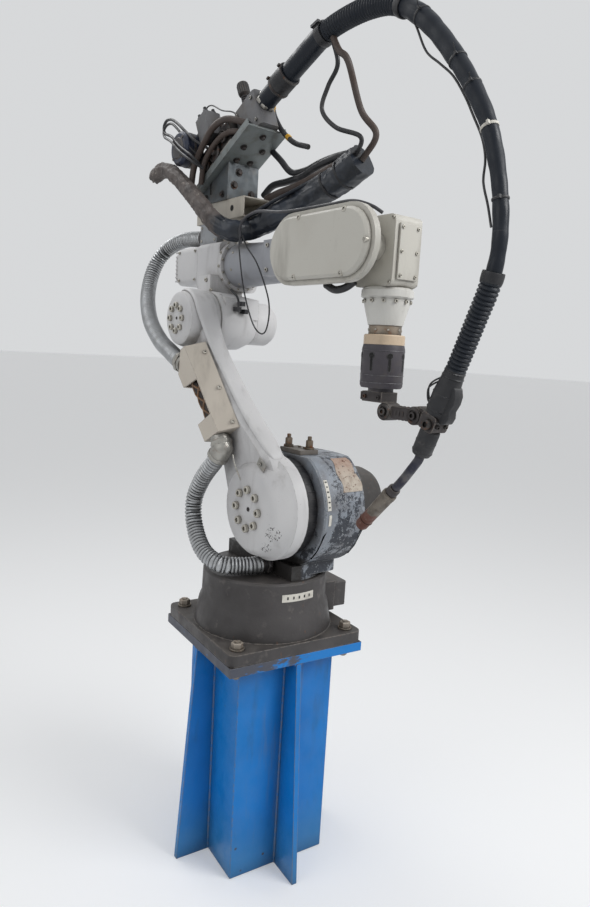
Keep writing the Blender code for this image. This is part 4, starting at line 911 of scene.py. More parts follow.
FEEDER_HOSES = [
    ("motor_lead_one", M_WIRE, 0.0042, 10, 0.006,
     [(-0.262, -0.098, 1.89), (-0.27, -0.124, 1.914), (-0.34, -0.126, 1.953), (-0.404, -0.12, 1.992),
      (-0.46, -0.114, 2.014), (-0.478, -0.11, 2.036), (-0.462, -0.11, 2.05), (-0.432, -0.11, 2.048),
      (-0.388, -0.112, 2.028), (-0.34, -0.11, 1.996), (-0.298, -0.104, 1.966), (-0.268, -0.08, 1.946)]),
    ("motor_lead_two", M_WIRE, 0.0036, 10, 0.006,
     [(-0.25, -0.1, 1.884), (-0.262, -0.13, 1.9), (-0.33, -0.134, 1.938), (-0.394, -0.128, 1.976),
      (-0.45, -0.12, 2), (-0.47, -0.114, 2.022), (-0.456, -0.112, 2.036), (-0.424, -0.112, 2.034),
      (-0.384, -0.114, 2.012), (-0.345, -0.114, 1.982), (-0.314, -0.11, 1.95), (-0.3, -0.088, 1.93)]),
    ("inlet_wire", M_WIRE, 0.002, 8, 0.006,
     [(-0.332, -0.05, 2.04), (-0.342, -0.044, 2.074), (-0.319, -0.04, 2.078), (-0.262, -0.04, 2.052),
      (-0.208, -0.036, 2.036), (-0.171, -0.03, 2.007)]),
    ("second_brown_hose", M_BROWN, 0.0075, 14, 0.006,
     [(-0.296, -0.08, 1.852), (-0.286, -0.078, 1.905), (-0.249, -0.075, 1.943), (-0.208, -0.072, 1.964),
      (-0.167, -0.066, 1.971), (-0.13, -0.05, 1.966)]),
    ("brown_hose", M_BROWN, 0.0088, 14, 0.006,
     [(-0.33, -0.092, 1.85), (-0.318, -0.09, 1.905), (-0.27, -0.088, 1.958), (-0.232, -0.084, 1.99),
      (-0.19, -0.076, 2.004), (-0.15, -0.064, 1.998), (-0.118, -0.044, 1.985)]),
    ("open_hose", M_RUBBER, 0.0068, 14, 0.006, OPEN_HOSE),
]


def radius_at(x, rows):
    for (x0, r0), (x1, r1) in zip(rows, rows[1:]):
        if x <= x1:
            return r0 + (r1 - r0) * max(0, (x - x0) / (x1 - x0))
    return rows[-1][1]


def folded_sleeve(sides=40, depth=0.006, size=0.045):
    """Loose sleeve: a tube whose skin is pulled into lengthwise folds, all of them inwards."""
    route, where = even_route(smooth_route(FEED_SLEEVE + BUNDLE, 0.02), 0.004)
    rings = tube_rings(route, [radius_at(p.x, SLEEVE_RADII) for p in route], sides)
    for point, far, ring in zip(route, where, rings):
        for k, skin in enumerate(ring):
            fold = abs(noise.noise(Vector((far / (size * 3), k * 9 / sides, 0))))
            fold += 0.6 * abs(noise.noise(skin / (size * 0.5)))
            ring[k] = skin + (point - skin).normalized() * depth * min(1, fold * 1.4)
    obj = Shape().skin(rings, caps=True).piece("cable_bundle_sleeve", loose_sleeve(), "elbow")
    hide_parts("cable_bundle", "feed_sleeve")


def bundle_and_hoses():
    folded_sleeve()
    bundle = smooth_route(BUNDLE, 0.02)
    ahead = (bundle[-1] - bundle[-2]).normalized()
    ties = [(0.0405, bundle[-1] - ahead * 0.06)]
    ties += [(radius, bundle[round(len(bundle) * (1 - back / BUNDLE_LONG))]) for radius, back in TIES_BACK]
    shape = Shape()
    for radius, centre in ties:
        inner, half = radius * 0.9, 0.003
        shape.lathe([(inner, -half), (radius, -half), (radius, half), (inner, half)], centre, ahead, 28)
    shape.piece("bundle_ties", M_RUBBER, "elbow", 0.0004)
    for name, side, lift, radius in (("hose_on_bundle_one", -0.012, 0.036, 0.0055),
                                     ("hose_on_bundle_two", 0.006, 0.041, 0.0055),
                                     ("hose_on_bundle_three", -0.026, 0.026, 0.0045)):
        points = [p + Vector((0, side * (1 + 0.3 * math.sin(i)), lift * (0.82 + 0.3 * i / len(bundle))))
                  for i, p in enumerate(bundle[3::3])]
        hose(name, points, radius, M_CABLE, "elbow", cut=0.01)
    plain_hoses(UPPER_HOSES)
    for name, points, radius, mat, stands_for in (("gas_hose_run", GAS_HOSE, 0.0078, M_BROWN, ("gas_hose",)),
                                                  ("second_gas_hose_run", SECOND_HOSE, 0.0055, M_RUBBER, ())):
        start, join = Vector(points[0]), Vector(points[-1])
        crossing(hose(name, points, radius, mat, "elbow", cut=0.008), stands_for, "elbow", "forearm", start,
                 start + (join - start) / GAS_JOIN_SHARE)


def feeder_hoses():
    plain_hoses(FEEDER_HOSES)
    end = Vector(OPEN_HOSE[-1])
    # Dark disc in the hose's open end: painted shade inside it.
    shape = Shape().lathe(disc(0.005, 0.0008), end, end - Vector(OPEN_HOSE[-2]), 20)
    shape.piece("open_hose_mouth_shade", M_BLACK_PRINT_AND_HOLE_SHADE, "elbow")
    neck = [(0, 0), (0.011, 0), (0.011, 0.012), (0.0085, 0.014), (0.0085, 0.026), (0, 0.026)]
    shape = Shape().lathe(neck, (-0.1, 0.016, 2.045), (0.1, 0.1, -1), 6)
    shape.lathe(disc(0.008, 0.014), (-0.04, 0.029, 1.955), (0.55, 0, -0.42), 6)
    shape.piece("yellow_fittings", M_YELLOW, "elbow", 0.0008)


def loose_leads(spans):
    lead = hose("lead_on_torch_cable", LEAD_ON_CABLE, 0.0024, M_WIRE, "wrist", 8, 0.01)
    crossing(lead, (), *spans["wrist"])
    plain_hoses(HANGING_LEAD)
    lead = hose("lead_over_forearm", OVER_FOREARM, 0.0036, M_LEAD, "forearm", 10, 0.01)
    crossing(lead, (), "elbow", "forearm", (-0.06, -0.06, 1.7), (0.16, -0.06, 1.7))


def braided_sleeve():
    """Open braid over dark cables, behind the window of the cable cover."""
    low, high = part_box("cable_sleeve")
    line = [arm_point(0.2105 + (0.4 - 0.2105) * t / 10, -0.01 - 0.01 * t / 10,
                      high.y - 0.017 - (high.y - low.y - 0.034) * t / 10) for t in range(11)]
    route, where = even_route(line, 0.004)
    core = rubber("cables_in_sleeve", colour(44, 34, 28), 0.5, 0.4)
    Shape().tube(route, 0.0145, 20).piece("cables_in_sleeve", core, "lower_arm")
    shape, strands, twist = Shape(), 4, TURN / 0.15
    for sign, k in ((sign, k) for sign in (-1, 1) for k in range(strands)):
        path = []
        for i, (point, far) in enumerate(zip(route, where)):
            ahead = ahead_at(route, i)
            side = (-SIDE).cross(ahead).normalized()
            angle = TURN * k / strands + sign * twist * far
            path.append(point + (side * math.cos(angle) + ahead.cross(side) * math.sin(angle)) * 0.0152)
        shape.tube(path, 0.0026, 6)
    obj = shape.piece("cable_braid", plain("braid_finish", colour(142, 108, 80), 0.7, 0.5), "lower_arm")
    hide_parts("cable_sleeve")


# Lower arm

def arm_fasteners():
    hub2, hub3 = Vector((J2_X, HUB2_FACE, J2_Z)), Vector((J3_X, HUB3_FACE, J3_Z))
    shape = Shape().ring(socket_bolt, hub2, SIDE, 0.05, 8, 0, 0.0104, 0.01, 24)
    shape.ring(socket_bolt, hub3, SIDE, 0.034, 8, 0, 0.008, 0.008, 24).piece("hub_bolts", M_BOLT, "lower_arm", 0.0004)
    shape = Shape().lathe(disc(0.006, 0.002, 0.005), hub2 + AHEAD * 0.003, SIDE, 20)
    shape.lathe(disc(0.004, 0.0015, 0.0035), hub3, SIDE, 20)
    shape.piece("hub_centre_plugs", M_BLACK_BOLT, "lower_arm", 0.0003)
    places = [arm_point(station, 0.046, y) for station, y in ((0.42, -0.169), (0.318, -0.152), (0.222, -0.137))]
    shape = Shape().bolts(pan_screw, places, arm_frame()[1], 0.0055, 0.004)
    shape.piece("cover_screws", M_BOLT, "lower_arm")


# Station along the arm, distance forward, middle y and half width of the cast band
PAD_ROWS = [(0.088, 0.1035, -0.072, 0.012), (0.1, 0.1015, -0.072, 0.022), (0.12, 0.0965, -0.074, 0.027),
            (0.15, 0.088, -0.077, 0.029), (0.21, 0.069, -0.085, 0.029), (0.28, 0.058, -0.098, 0.028),
            (0.37, 0.053, -0.116, 0.026), (0.44, 0.0555, -0.134, 0.026), (0.5, 0.069, -0.146, 0.03)]
PAD_LIFT, PAD_SUNK, HUB3_RADIUS, HUB3_STATION = 0.007, 0.004, 0.076, 0.545


def arm_pad():
    """Broad rounded band cast along the front of the lower arm and over the top of its upper hub."""
    rows = list(PAD_ROWS)
    for angle in (-12, 6, 24, 42, 60, 78, 92):
        a = math.radians(angle)
        rows.append((HUB3_STATION + HUB3_RADIUS * math.sin(a), HUB3_RADIUS * math.cos(a), -0.15,
                     0.034 - 0.01 * max(0, angle - 60) / 32))
    rings = []
    for n, (station, across, middle, wide) in enumerate(rows):
        before, after = rows[max(n - 1, 0)], rows[min(n + 1, len(rows) - 1)]
        slope = Vector((after[0] - before[0], after[1] - before[1])).normalized()
        lift = PAD_LIFT * (0.25 if n in (0, len(rows) - 1) else 1)
        ring = []
        for angle in (math.pi * k / 10 for k in range(11)):
            out = (lift + PAD_SUNK) * min(1, 1.9 * math.sin(angle)) - PAD_SUNK
            ring.append(arm_point(station - slope.y * out, across + slope.x * out, middle - wide * math.cos(angle)))
        rings.append(ring)
    obj = Shape().skin(rings, caps=True).piece("arm_front_band", M_ARM, "lower_arm", sharp=False)
    mod = obj.modifiers.new("round_off", "SUBSURF")
    mod.levels = mod.render_levels = 2


def arm_clip():
    clip = at(0.128, HUB2_FACE + 0.008, 1.12) @ Matrix.Rotation(0.5, 4, "Y")
    shape = Shape().box((0.034, 0.003, 0.022), clip)
    pan_screw(shape, (0.126, HUB2_FACE + 0.0062, 1.121), SIDE, 0.0048, 0.004)
    rod = [(0.046, -0.15, 1.135), (0.06, -0.152, 1.112), (0.084, -0.148, 1.076)]
    shape.tube(smooth_route(rod, 0.006), 0.0022, 8).piece("conduit_clip", M_STEEL, "lower_arm", 0.0005)


# Turret, base and pedestal

DRUM_RADIUS = 0.16


def patch(name, mat, body, point_at, across, along, thick=0.0007):
    """Thin sticker that follows a surface given as a function of two shares from 0 to 1."""
    shape = Shape().skin([[point_at(i / across, j / along) for j in range(along + 1)] for i in range(across + 1)],
                         closed=False)
    bmesh.ops.recalc_face_normals(shape.bm, faces=shape.bm.faces)
    bmesh.ops.solidify(shape.bm, geom=shape.bm.faces[:], thickness=thick)
    shape.piece(name, mat, body)


def on_drum(angle, y, lift=0.0006):
    a = math.radians(angle)
    return Vector((J2_X + (DRUM_RADIUS + lift) * math.cos(a), y, J2_Z + (DRUM_RADIUS + lift) * math.sin(a)))


def turret_trim():
    patch("turret_worn_patch", aged_label(), "turret",
          lambda s, t: on_drum(21 + 36 * s, 0.062 + 0.004 * math.sin(9 * s) + (0.064 - 0.01 * s * s) * t), 16, 6)
    patch("axis_strip", M_PAPER, "turret", lambda s, t: on_drum(6 + 28 * s, 0.007 + 0.011 * t), 14, 2, 0.0005)
    patch("axis_strip_low", M_PAPER, "turret", lambda s, t: on_drum(10 * s - 8, 0.012 + 0.008 * t), 6, 2, 0.0005)
    shape = Shape()
    for k in range(6):
        angle = 9 + 4.6 * k
        shape.box((0.0006, 0.006 if k % 2 else 0.004, 0.0032), Matrix.Translation(on_drum(angle, 0.0125, 0.0012))
                  @ Matrix.Rotation(-math.radians(angle), 4, "Y"))
    shape.piece("axis_strip_marks", M_BLACK_PRINT_AND_HOLE_SHADE, "turret")
    outline = [on_drum(a, 0.065, -0.001) for a in (-22, -34, -46)]
    outline += [Vector((x, 0.065, z)) for x, z in ((0.06, 0.87), (0.06, 0.8535), (0.15, 0.8535), (0.172, 0.868),
                                                   (0.204, 0.905))]
    Shape().prism(outline, -SIDE, 0.062).piece("turret_web", M_TURRET, "turret", 0.006)
    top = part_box("lifting_plate")[1].z
    shape = Shape()
    for x, y in ((0.044, 0.026), (0.108, 0.046)):
        hex_bolt(shape, (x, y, top), UP, 0.0098, 0.026, 1.35)
        shape.lathe([(0, 0), (0.0055, 0), (0.0055, 0.01), (0, 0.011)], (x, y, top + 0.024), UP, 16)
    for x in (0.066, 0.088):
        shape.lathe(disc(0.0045, 0.004, 0.004), (x, 0.046, top), UP, 16)
    shape.piece("lifting_plate_bolts", M_RUSTY, "turret", 0.0006)
    shape = Shape()
    for place in round_of((J2_X, -0.012, J2_Z), SIDE, 0.1285, 40):
        shape.box((0.0016, 0.022, 0.0016), Matrix.Translation(place))
    shape.piece("seal_nicks", M_RUBBER, "turret", 0.0003)
    centre = (J2_X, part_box("joint_2_motor_cover")[1].y - 0.0064, J2_Z)
    shape = Shape().ring(socket_bolt, centre, -SIDE, 0.07, 4, 0.78, 0.0055, 0.006)
    shape.piece("motor_2_screws", M_BOLT, "turret", 0.0004)
    nut = [(0, 0), (0.0262, 0), (0.0275, 0.002), (0.0275, 0.01), (0.0262, 0.012), (0, 0.012)]
    Shape().lathe(nut, (0.06, -0.034, 0.838), SIDE, 8).piece("fitting_nut", M_DARK, "turret", 0.0008)


def on_base(s, t):
    """Point of the base's cone, round its front and up."""
    angle, high = math.radians(33 * s - 19), 0.764 + 0.02 * t
    radius = 0.1712 - (high - 0.738) * 0.022 + 0.0008
    return Vector((radius * math.cos(angle), radius * math.sin(angle), high))


def weld(shape, *ends, radius=0.0034, ripple=0.005):
    route = even_route([Vector(p) for p in ends], ripple / 2)[0]
    shape.tube(route, [radius * (1 if i % 2 else 0.82) for i in range(len(route))], 8)


def base_trim():
    shape = Shape()
    for x, y in ((x, y) for x in (-0.165, 0.165) for y in (-0.165, 0.165)):
        hex_bolt(shape, BASE @ Vector((x, y, 0.661)), UP, 0.0155, 0.021, 1.22)
        hex_bolt(shape, BASE @ Vector((x, y, 0.604)), -UP, 0.0135, 0.018)
        for z, way, radius, long in ((0.68, UP, 0.007, 0.003), (0.604, -UP, 0.0078, 0.02)):
            shape.lathe(disc(radius, long), BASE @ Vector((x, y, z)), way, 16)
    shape.piece("anchor_bolts", M_ANCHOR, "base", 0.0007)
    patch("base_plain_sticker", M_PAPER, "base", on_base, 14, 2, 0.0006)
    shape = Shape()
    for s in (0.16 + 0.17 * k for k in range(5)):
        shape.box((0.0006, 0.004, 0.007), Matrix.Translation(on_base(s, 0.5) + AHEAD * 0.0005)
                  @ Matrix.Rotation(math.radians(33 * s - 19), 4, "Z"))
    shape.piece("base_sticker_marks", M_BLACK_PRINT_AND_HOLE_SHADE, "base")
    shape, way = Shape(), BASE.to_3x3() @ -SIDE
    for x, radius in ((-0.022, 0.02), (0.026, 0.016)):
        shape.lathe([(0, 0), (radius, 0), (radius, 0.004), (radius * 0.8, 0.006), (radius * 0.8, 0.009),
                     (radius * 0.55, 0.009), (radius * 0.55, 0.004), (0, 0.004)],
                    BASE @ Vector((x, 0.246, 0.712)), way, 28)
    places = [BASE @ Vector((x, 0.246, z)) for x in (-0.044, 0.044) for z in (0.684, 0.742)]
    shape.bolts(pan_screw, places, way, 0.0045, 0.003).piece("base_sockets", M_FITTING, "base", 0.0004)
    shape = Shape()
    for turn in (BASE @ Matrix.Rotation(math.radians(90) * quarter, 4, "Z") for quarter in range(4)):
        for side in (-0.0095, 0.0095):
            weld(shape, *(turn @ Vector((0.146, side, z)) for z in (0.004, 0.6)))
            weld(shape, *(turn @ Vector((x, side, 0.6025)) for x in (0.148, 0.198)))
        for ends in ((-0.143, -0.012), (0.012, 0.143)):
            weld(shape, *(turn @ Vector((0.1468, y, 0.6018)) for y in ends))
    shape.piece("pedestal_welds", M_BLUE, "base")


# Elbow, forearm and wrist

def elbow_trim():
    shape = Shape()
    for z in (1.594 + 0.0122 * k for k in range(8)):
        for y in (-0.0565, 0.0565):
            shape.box((0.03, 0.0045, 0.005), at(-0.462, y, z))
        shape.box((0.0045, 0.098, 0.005), at(-0.4785, 0, z))
    shape.piece("motor_4_fins", M_ARM, "elbow", 0.001)
    shape = Shape()
    for side in (-1, 1):
        places = [(x, 0.064 * side, z) for x in (-0.44, -0.344) for z in (1.594, 1.676)]
        shape.bolts(socket_bolt, places, -side * SIDE, 0.0042, 0.0035)
    shape.ring(socket_bolt, (-0.195, 0, J4_Z), AHEAD, 0.0705, 12, 0.1, 0.0042, 0.003, outward=True)
    shape.ring(socket_bolt, (-0.186, 0, J4_Z), AHEAD, 0.066, 12, 0.36, 0.0036, 0.003)
    places = [(x, -0.09, z) for x, z in ((-0.196, 1.556), (-0.15, 1.512), (-0.236, 1.512), (-0.226, 1.585))]
    shape.bolts(socket_bolt, places, SIDE, 0.0055, 0.005).piece("elbow_bolts", M_BOLT, "elbow", 0.0004)
    shape = Shape()
    for x in (-0.246, -0.212, -0.178, -0.144):
        points = [(x, -0.0895, 1.48), (x - 0.001, -0.0905, 1.51), (x - 0.003, -0.0898, 1.544)]
        shape.tube(smooth_route(points, 0.008), 0.0032, 10)
    shape.piece("casting_ribs", M_ARM, "elbow")
    centre = (J3_X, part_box("joint_3_motor_cover")[1].y - 0.0008, J3_Z)
    shape = Shape().ring(socket_bolt, centre, -SIDE, 0.044, 4, 0.78, 0.0045, 0.0045)
    shape.piece("motor_3_screws", M_BOLT, "elbow", 0.0004)
    shape = Shape()
    for y, z in ((-0.05, 1.52), (-0.062, 1.505), (-0.04, 1.5)):
        shape.box((0.018, 0.014, 0.012), at(-0.103, y, z) @ Matrix.Rotation(0.3, 4, "Z"))
    points = [(-0.096, -0.06, 1.505), (-0.08, -0.074, 1.5), (-0.076, -0.078, 1.53), (-0.11, -0.08, 1.556)]
    shape.tube(smooth_route(points, 0.006), 0.003, 10).piece("elbow_connectors", M_RUBBER, "elbow", 0.0012)
    low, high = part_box("elbow_cable_box")
    xs, ys, zs = ((low[i] + 0.01, high[i] - 0.01) for i in range(3))
    shape = Shape().bolts(pan_screw, [(x, low.y, z) for x in xs for z in zs], SIDE, 0.0042, 0.003)
    shape.bolts(pan_screw, [(x, y, high.z) for x in xs for y in ys], UP, 0.0042, 0.003)
    shape.piece("cable_box_screws", M_BOLT, "elbow")
    nut = [(0, 0), (0.0295, 0), (0.031, 0.002), (0.031, 0.012), (0.0295, 0.014), (0, 0.014)]
    shape = Shape().lathe(nut, (-0.352, 0, 1.724), -AHEAD, 8).lathe(disc(0.0285, 0.01), (-0.385, 0, 1.724), -AHEAD)
    shape.piece("elbow_gland_nut", M_DARK, "elbow", 0.0008)


LID_SCREWS = [(0.471, 1.628), (0.403, 1.5665), (0.242, 1.5665), (0.25, 1.6935), (0.403, 1.6935)]
UNDER_SLEEVE = [(0.3, -0.086, 1.552), (0.33, -0.086, 1.54), (0.362, -0.084, 1.543), (0.386, -0.08, 1.556)]


def forearm_trim():
    shape = Shape()
    for x, z in LID_SCREWS:
        shape.lathe([(0, 0), (0.0062, 0), (0.0062, 0.0075), (0.0055, 0.0085), (0.0034, 0.0085), (0.003, 0.004),
                     (0, 0.004)], (x, -0.1285, z), SIDE, 18)
    shape.piece("lid_screws", M_BOLT, "forearm", 0.0003)
    places = [(x, -0.07, z) for z in (1.6, 1.66) for x in (0.04, 0.12)]
    shape = Shape().bolts(socket_bolt, places, SIDE, 0.0052, 0.0045)
    shape.ring(pan_screw, (-0.152, 0, J4_Z), AHEAD, 0.059, 8, 0.3, 0.0036, 0.0035, outward=True)
    shape.piece("neck_screws", M_BOLT, "forearm", 0.0003)
    hose("sleeve_under_forearm", UNDER_SLEEVE, 0.0085, M_RUBBER, "forearm")


def wrist_trim():
    low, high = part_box("wrist_cover")
    places = [(high.x, y, z) for y in (low.y + 0.007, high.y - 0.007)
              for z in (low.z + 0.008, (low.z + high.z) / 2, high.z - 0.008)]
    Shape().bolts(socket_bolt, places, AHEAD, 0.0036, 0.003).piece("wrist_cover_screws", M_BOLT, "wrist", 0.0003)
    Shape().ring(socket_bolt, (J5_X, 0, 1.519), UP, 0.05, 12, 0.13, 0.004, 0.0045, outward=True).piece(
        "skirt_screws", M_BOLT, "wrist", 0.0003)
    shape = Shape()
    for y, way in ((-0.0447, SIDE), (0.034, -SIDE)):
        places = [(x, y, z) for x in (0.352, 0.455) for z in (1.556, 1.686)]
        shape.bolts(socket_bolt, places, way, 0.0034, 0.003)
    shape.piece("wrist_side_screws", M_BOLT, "wrist", 0.0003)


# Tool

def sensor_trim():
    """Slots, screws and seams of the shock sensor and the rings above it; the slots are dark shapes of painted shade.
    """
    Shape().ring(pan_screw, (J5_X, 0, 1.4585), UP, 0.0358, 8, 0.2, 0.0028, 0.0022, outward=True).piece(
        "ring_screws", M_BOLT, "tool", 0.0003)
    # Dark boxes and discs standing for the sensor's slots and holes: painted shade inside them.
    shape = Shape()
    for a in (math.radians(angle) for angle in (-75, -25, 25, 105, 155, -125)):
        way = Vector((math.cos(a), math.sin(a), 0))
        turn = Matrix.Translation(AHEAD * J5_X + way * 0.0466) @ Matrix.Rotation(a, 4, "Z")
        shape.box((0.0016, 0.0065, 0.032), turn @ at(0, 0, 1.386))
        shape.lathe([(0, -0.0006), (0.0068, -0.0006), (0.0068, 0.001), (0, 0.001)], turn @ Vector((0, 0, 1.403)),
                    way, 24)
    shape.piece("sensor_slots_shade", M_BLACK_PRINT_AND_HOLE_SHADE, "tool")
    shape = Shape()
    for high in (1.414, 1.345, 1.361):
        shape.lathe(hoop(0.044, 0.0476, 0.0009, 0.0004), (J5_X, 0, high), UP, 40)
    shape.piece("sensor_seams", M_SENSOR, "tool")


NECK_BEND = [(-0.0075, -0.1185), (-0.0185, -0.1545), (-0.0348, -0.1969)]
# Outline of the handle's lever: x, and height over the holder
LEVER = [(0, -0.004), (0.026, -0.01), (0.036, -0.004), (0.038, 0.01), (0.033, 0.022), (0.036, 0.04),
         (0.034, 0.056), (0.025, 0.07), (0, 0.076)]


def torch_trim():
    """Bolts, discs and strap of the bracket, ribs and lever of the handle, neck collar and nozzle mouth, a dark disc
    of painted shade.
    """
    face, side, axis = (TORCH.to_3x3() @ way for way in (AHEAD, SIDE, UP))
    knuckles = [(x, KNUCKLE_FACE, KNUCKLE_Z) for x in KNUCKLE_X]
    shape = Shape().bolts(socket_bolt, knuckles, SIDE, 0.0085, 0.007)
    shape.bolts(socket_bolt, [(x, -0.024, 1.313) for x in (0.384, 0.426)], SIDE, 0.0045, 0.004)
    socket_bolt(shape, on_torch(0.004, -0.003, -0.022), side, 0.0115, 0.009)
    shape.bolts(socket_bolt, [on_torch(0.021, 0, y) for y in (-0.012, 0.012)], face, 0.0046, 0.005)
    shape.piece("bracket_bolts", M_BLACK_BOLT, "tool", 0.0004)
    shape = Shape()
    for place in knuckles:
        shape.lathe([(0.012, 0), (0.0185, 0), (0.0185, 0.0025), (0.012, 0.0025)], place, SIDE)
    for x in (0.472, 0.483, 0.494):
        shape.lathe(hoop(0.01, 0.0155, 0.0018, 0.0005), (x, 0, KNUCKLE_Z), AHEAD, 24)
    shape.box((0.005, 0.05, 0.018), at(0.372, 0, 1.314)).box((0.0426, 0.0446, 0.002), TORCH @ at(0, 0, 0.01))
    shape.piece("bracket_discs", M_BLACK_BOLT, "tool", 0.0007)
    shape = Shape()
    for lift, radius in ((0.012, 0.0268), (0.046, 0.0266), (0.084, 0.0226), (0.095, 0.0216)):
        shape.lathe(hoop(0.015, radius, 0.003, 0.0008), on_torch(0, BLOCK_TOP + lift), axis)
    shape.prism([on_torch(x, BLOCK_TOP + z) for x, z in LEVER], -side, 0.013)
    shape.piece("handle_trim", M_RUBBER, "tool", 0.0035)
    for k, (near, far) in enumerate(((0.034, 0.06), (0.028, 0.052))):
        near, far = BLOCK_TOP + near, BLOCK_TOP + far
        loop = [on_torch(-0.018, near - 0.02), on_torch(-0.028, near - 0.01, -0.01),
                on_torch(-0.034, near + 0.012, -0.016), on_torch(-0.03, far, -0.014),
                on_torch(-0.018, far + 0.016, -0.008)]
        hose("handle_lead_%d" % (k + 1), loop, 0.0019, M_WIRE, "tool", 8)
    shape = Shape()
    for lift, radius in ((-0.004, 0.0206), (-0.028, 0.0217), (-0.05, 0.0217)):
        shape.lathe(hoop(0.015, radius, 0.0022, 0.0007), on_torch(0, lift - BLOCK_TOP), axis)
    shape.piece("barrel_rings", M_RUBBER, "tool", 0.0005)
    bend = [on_torch(x, z) for x, z in NECK_BEND]
    hose("neck_sleeve", [on_torch(0, -0.08), on_torch(0, -0.092)] + bend, 0.0102, M_NECK, "tool", 24, 0.005)
    start, way = bend[-1], (bend[-1] - bend[-2]).normalized()
    collar = [(0.008, -0.018), (0.0128, -0.018), (0.014, -0.015), (0.014, -0.003), (0.0128, 0), (0.008, 0)]
    Shape().lathe(collar, start, way, 28).piece("neck_collar", M_CLAMP, "tool", 0.0004)
    rim = [(0.012, 0), (0.0168, 0.003), (0.0172, 0.008), (0.0168, 0.014), (0.012, 0.017)]
    seam = [(0.012, 0), (0.0166, 0), (0.0166, 0.0018), (0.012, 0.0018)]
    shape = Shape().lathe(rim, start, way).lathe(seam, start + way * 0.104, way)
    shape.piece("nozzle_collars", M_NOZZLE, "tool", 0.0004)
    # Dark disc in the nozzle's mouth: painted shade inside the bore.
    mouth = [(0, 0), (0.0094, 0), (0.0094, 0.0012), (0.004, 0.0014), (0.004, 0.0006), (0, 0.0006)]
    Shape().lathe(mouth, start + way * 0.13, way, 28).piece("nozzle_mouth_shade", M_BLACK_PRINT_AND_HOLE_SHADE, "tool")


# Wire feeder, by places on its tray

def feeder_rolls():
    across, up = (TRAY.to_3x3() @ way for way in (SIDE, UP))
    shape = Shape()
    for u, w, radius in ((-0.082, 0.04, 0.026), (-0.022, 0.04, 0.026), (0.032, 0.052, 0.016)):
        centre = on_tray(u, -0.052, w)
        shape.lathe([(0, 0), (radius, 0), (radius, 0.008), (radius * 0.8, 0.01), (radius * 0.8, 0.007),
                     (0.01, 0.007), (0.008, 0.014), (0, 0.014)], centre, across, 36)
        for place in round_of(centre + across * 0.004, across, radius, 24):
            shape.box((0.0022, 0.0022, 0.008), place_of(place, across))
    stud = [(0, 0), (0.006, 0), (0.006, 0.01), (0.0085, 0.011), (0.0085, 0.02), (0.007, 0.022), (0.007, 0.03),
            (0, 0.031)]
    for u, v in ((u, v) for u in (-0.052, 0.006) for v in (-0.03, 0.012)):
        shape.lathe(stud, on_tray(u, v, 0.085), up, 20)
    shape.piece("feed_roll_gears", M_BLACK_BOLT, "elbow", 0.0006)
    shape = Shape()
    for size, place in (((0.15, 0.01, 0.012), (-0.03, -0.022, 0.091)), ((0.12, 0.008, 0.01), (-0.036, 0.016, 0.09)),
                        ((0.012, 0.07, 0.03), (0.05, -0.008, 0.078)),
                        ((0.178, 0.005, 0.022), (-0.03, -0.0545, 0.012))):
        shape.box(size, TRAY @ at(*place))
    places = [on_tray(u, -0.057, 0.012) for u in (-0.11, -0.05, 0.02, 0.05)]
    shape.bolts(socket_bolt, places, across, 0.0042, 0.004)
    places = [on_tray(u, v, 0.097) for u, v in ((-0.094, -0.022), (0.03, -0.022), (-0.09, 0.016), (0.05, -0.03),
                                                (0.05, 0.014))]
    shape.bolts(socket_bolt, places, up, 0.0046, 0.004).piece("feed_levers", M_STEEL, "elbow", 0.001)


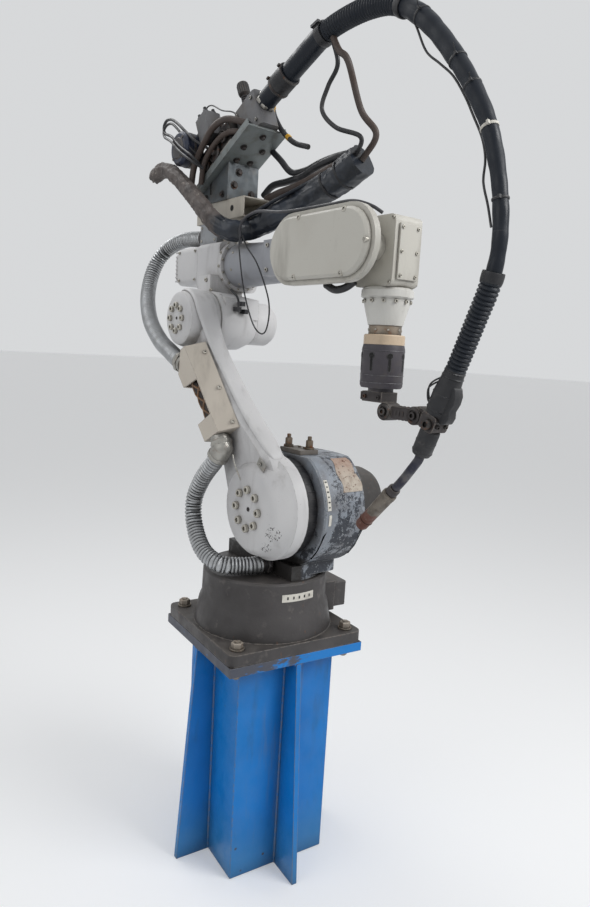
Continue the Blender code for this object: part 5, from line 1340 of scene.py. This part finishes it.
def feeder_trim():
    ahead, across, up = (TRAY.to_3x3() @ way for way in (AHEAD, SIDE, UP))
    shape = Shape()
    stud = [(0, 0), (0.0075, 0), (0.0075, 0.008), (0.005, 0.01), (0.005, 0.018), (0, 0.018)]
    for u, v in ((u, v) for u in (-0.042, -0.01) for v in (-0.066, -0.04)):
        shape.lathe(stud, on_tray(u, v, 0.158), up, 20)
    shape.box((0.048, 0.044, 0.004), TRAY @ at(-0.025, -0.053, 0.159))
    shape.lathe([(0, 0), (0.016, 0), (0.016, 0.02), (0.01, 0.024), (0, 0.024)], on_tray(-0.052, -0.053, 0.128),
                -ahead, 28).piece("inlet_fittings", M_RUBBER, "elbow", 0.0008)
    nut = [(0, 0), (0.029, 0), (0.029, 0.008), (0.0275, 0.01), (0, 0.01)]
    shape = Shape().lathe(nut, on_tray(HEAD_FACE, 0, CABLE_RISE), ahead, 6)
    places = [on_tray(u, v, 0.104) for u in (0.074, 0.15) for v in (-0.02, 0.02)]
    shape.bolts(socket_bolt, places, up, 0.0045, 0.004)
    places = [on_tray(u, -0.03, w) for u in (0.076, 0.148) for w in (0.02, 0.088)]
    shape.bolts(socket_bolt, places, across, 0.0045, 0.004).piece("feeder_head_bolts", M_STEEL, "elbow", 0.0004)
    shape = Shape()
    for a in (TURN * k / 14 for k in range(14)):
        shape.box((0.003, 0.003, 0.028), TRAY @ at(0.092 + 0.015 * math.cos(a), 0.015 * math.sin(a), 0.17))
    shape.lathe([(0, 0), (0.0125, 0), (0.0105, 0.004), (0, 0.005)], on_tray(0.092, 0, 0.186), up, 28)
    for rise in (0.112, 0.118, 0.124, 0.13, 0.136, 0.142):
        shape.lathe(hoop(0.006, 0.0118, 0.0014, 0.0006), on_tray(0.092, 0, rise), up, 20)
    shape.piece("knob_grip", M_RUBBER, "elbow", 0.0006)
    shape = Shape().lathe(disc(0.03, 0.003, 0.027), on_tray(-0.112, -0.114, 0.108), across, 36)
    shape.ring(socket_bolt, on_tray(-0.112, -0.112, 0.108), across, 0.037, 4, 0.8, 0.004, 0.004)
    shape.lathe([(0.044, -0.003), (0.0478, -0.003), (0.0478, 0.003), (0.044, 0.003)], on_tray(-0.112, -0.083, 0.108),
                across, 40).piece("feed_motor_end", M_DARK, "elbow", 0.0005)


def bracket_trim():
    up = TRAY.to_3x3() @ UP
    low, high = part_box("feeder_pillar")
    places = [(high.x, y, z) for y, z in ((-0.015, 1.882), (-0.029, 1.846), (0.028, 1.829))]
    shape = Shape().bolts(hex_bolt, places, AHEAD, 0.0072, 0.009)
    shape.bolts(hex_bolt, [(x, low.y, 1.822) for x in (-0.315, -0.225)], SIDE, 0.0062, 0.008)
    places = [on_tray(u, v, -0.006) for u, v in ((0.02, 0.022), (0.02, -0.022), (0.072, 0.03), (0.072, -0.03),
                                                 (0.122, 0))]
    shape.bolts(hex_bolt, places, -up, 0.0062, 0.008).piece("bracket_nuts", M_BLACK_BOLT, "elbow", 0.0004)
    # Dark boxes and discs on the pillar and channel standing for slots and holes: painted shade inside them.
    shape = Shape().box((0.01, 0.0012, 0.036), at(-0.29, low.y - 0.0002, 1.846))
    shape.lathe(disc(0.009, 0.0008), (-0.29, low.y, 1.866), SIDE, 24)
    for x in (-0.34, -0.18):
        shape.lathe(disc(0.008, 0.0008), (x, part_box("feeder_channel")[0].y, 1.78), SIDE, 24)
    shape.piece("bracket_slots_shade", M_BLACK_PRINT_AND_HOLE_SHADE, "elbow")


make_camera()
make_studio()
dress_nodes()
conduits()
cable_path, cable_spans = torch_cable()
cable_bands(cable_path, cable_spans)
bundle_and_hoses()
loose_leads(cable_spans)
braided_sleeve()
for dress in (arm_fasteners, arm_pad, arm_clip, turret_trim, base_trim, elbow_trim, forearm_trim, wrist_trim,
              sensor_trim, torch_trim, feeder_rolls, feeder_trim, bracket_trim, feeder_hoses):
    dress()
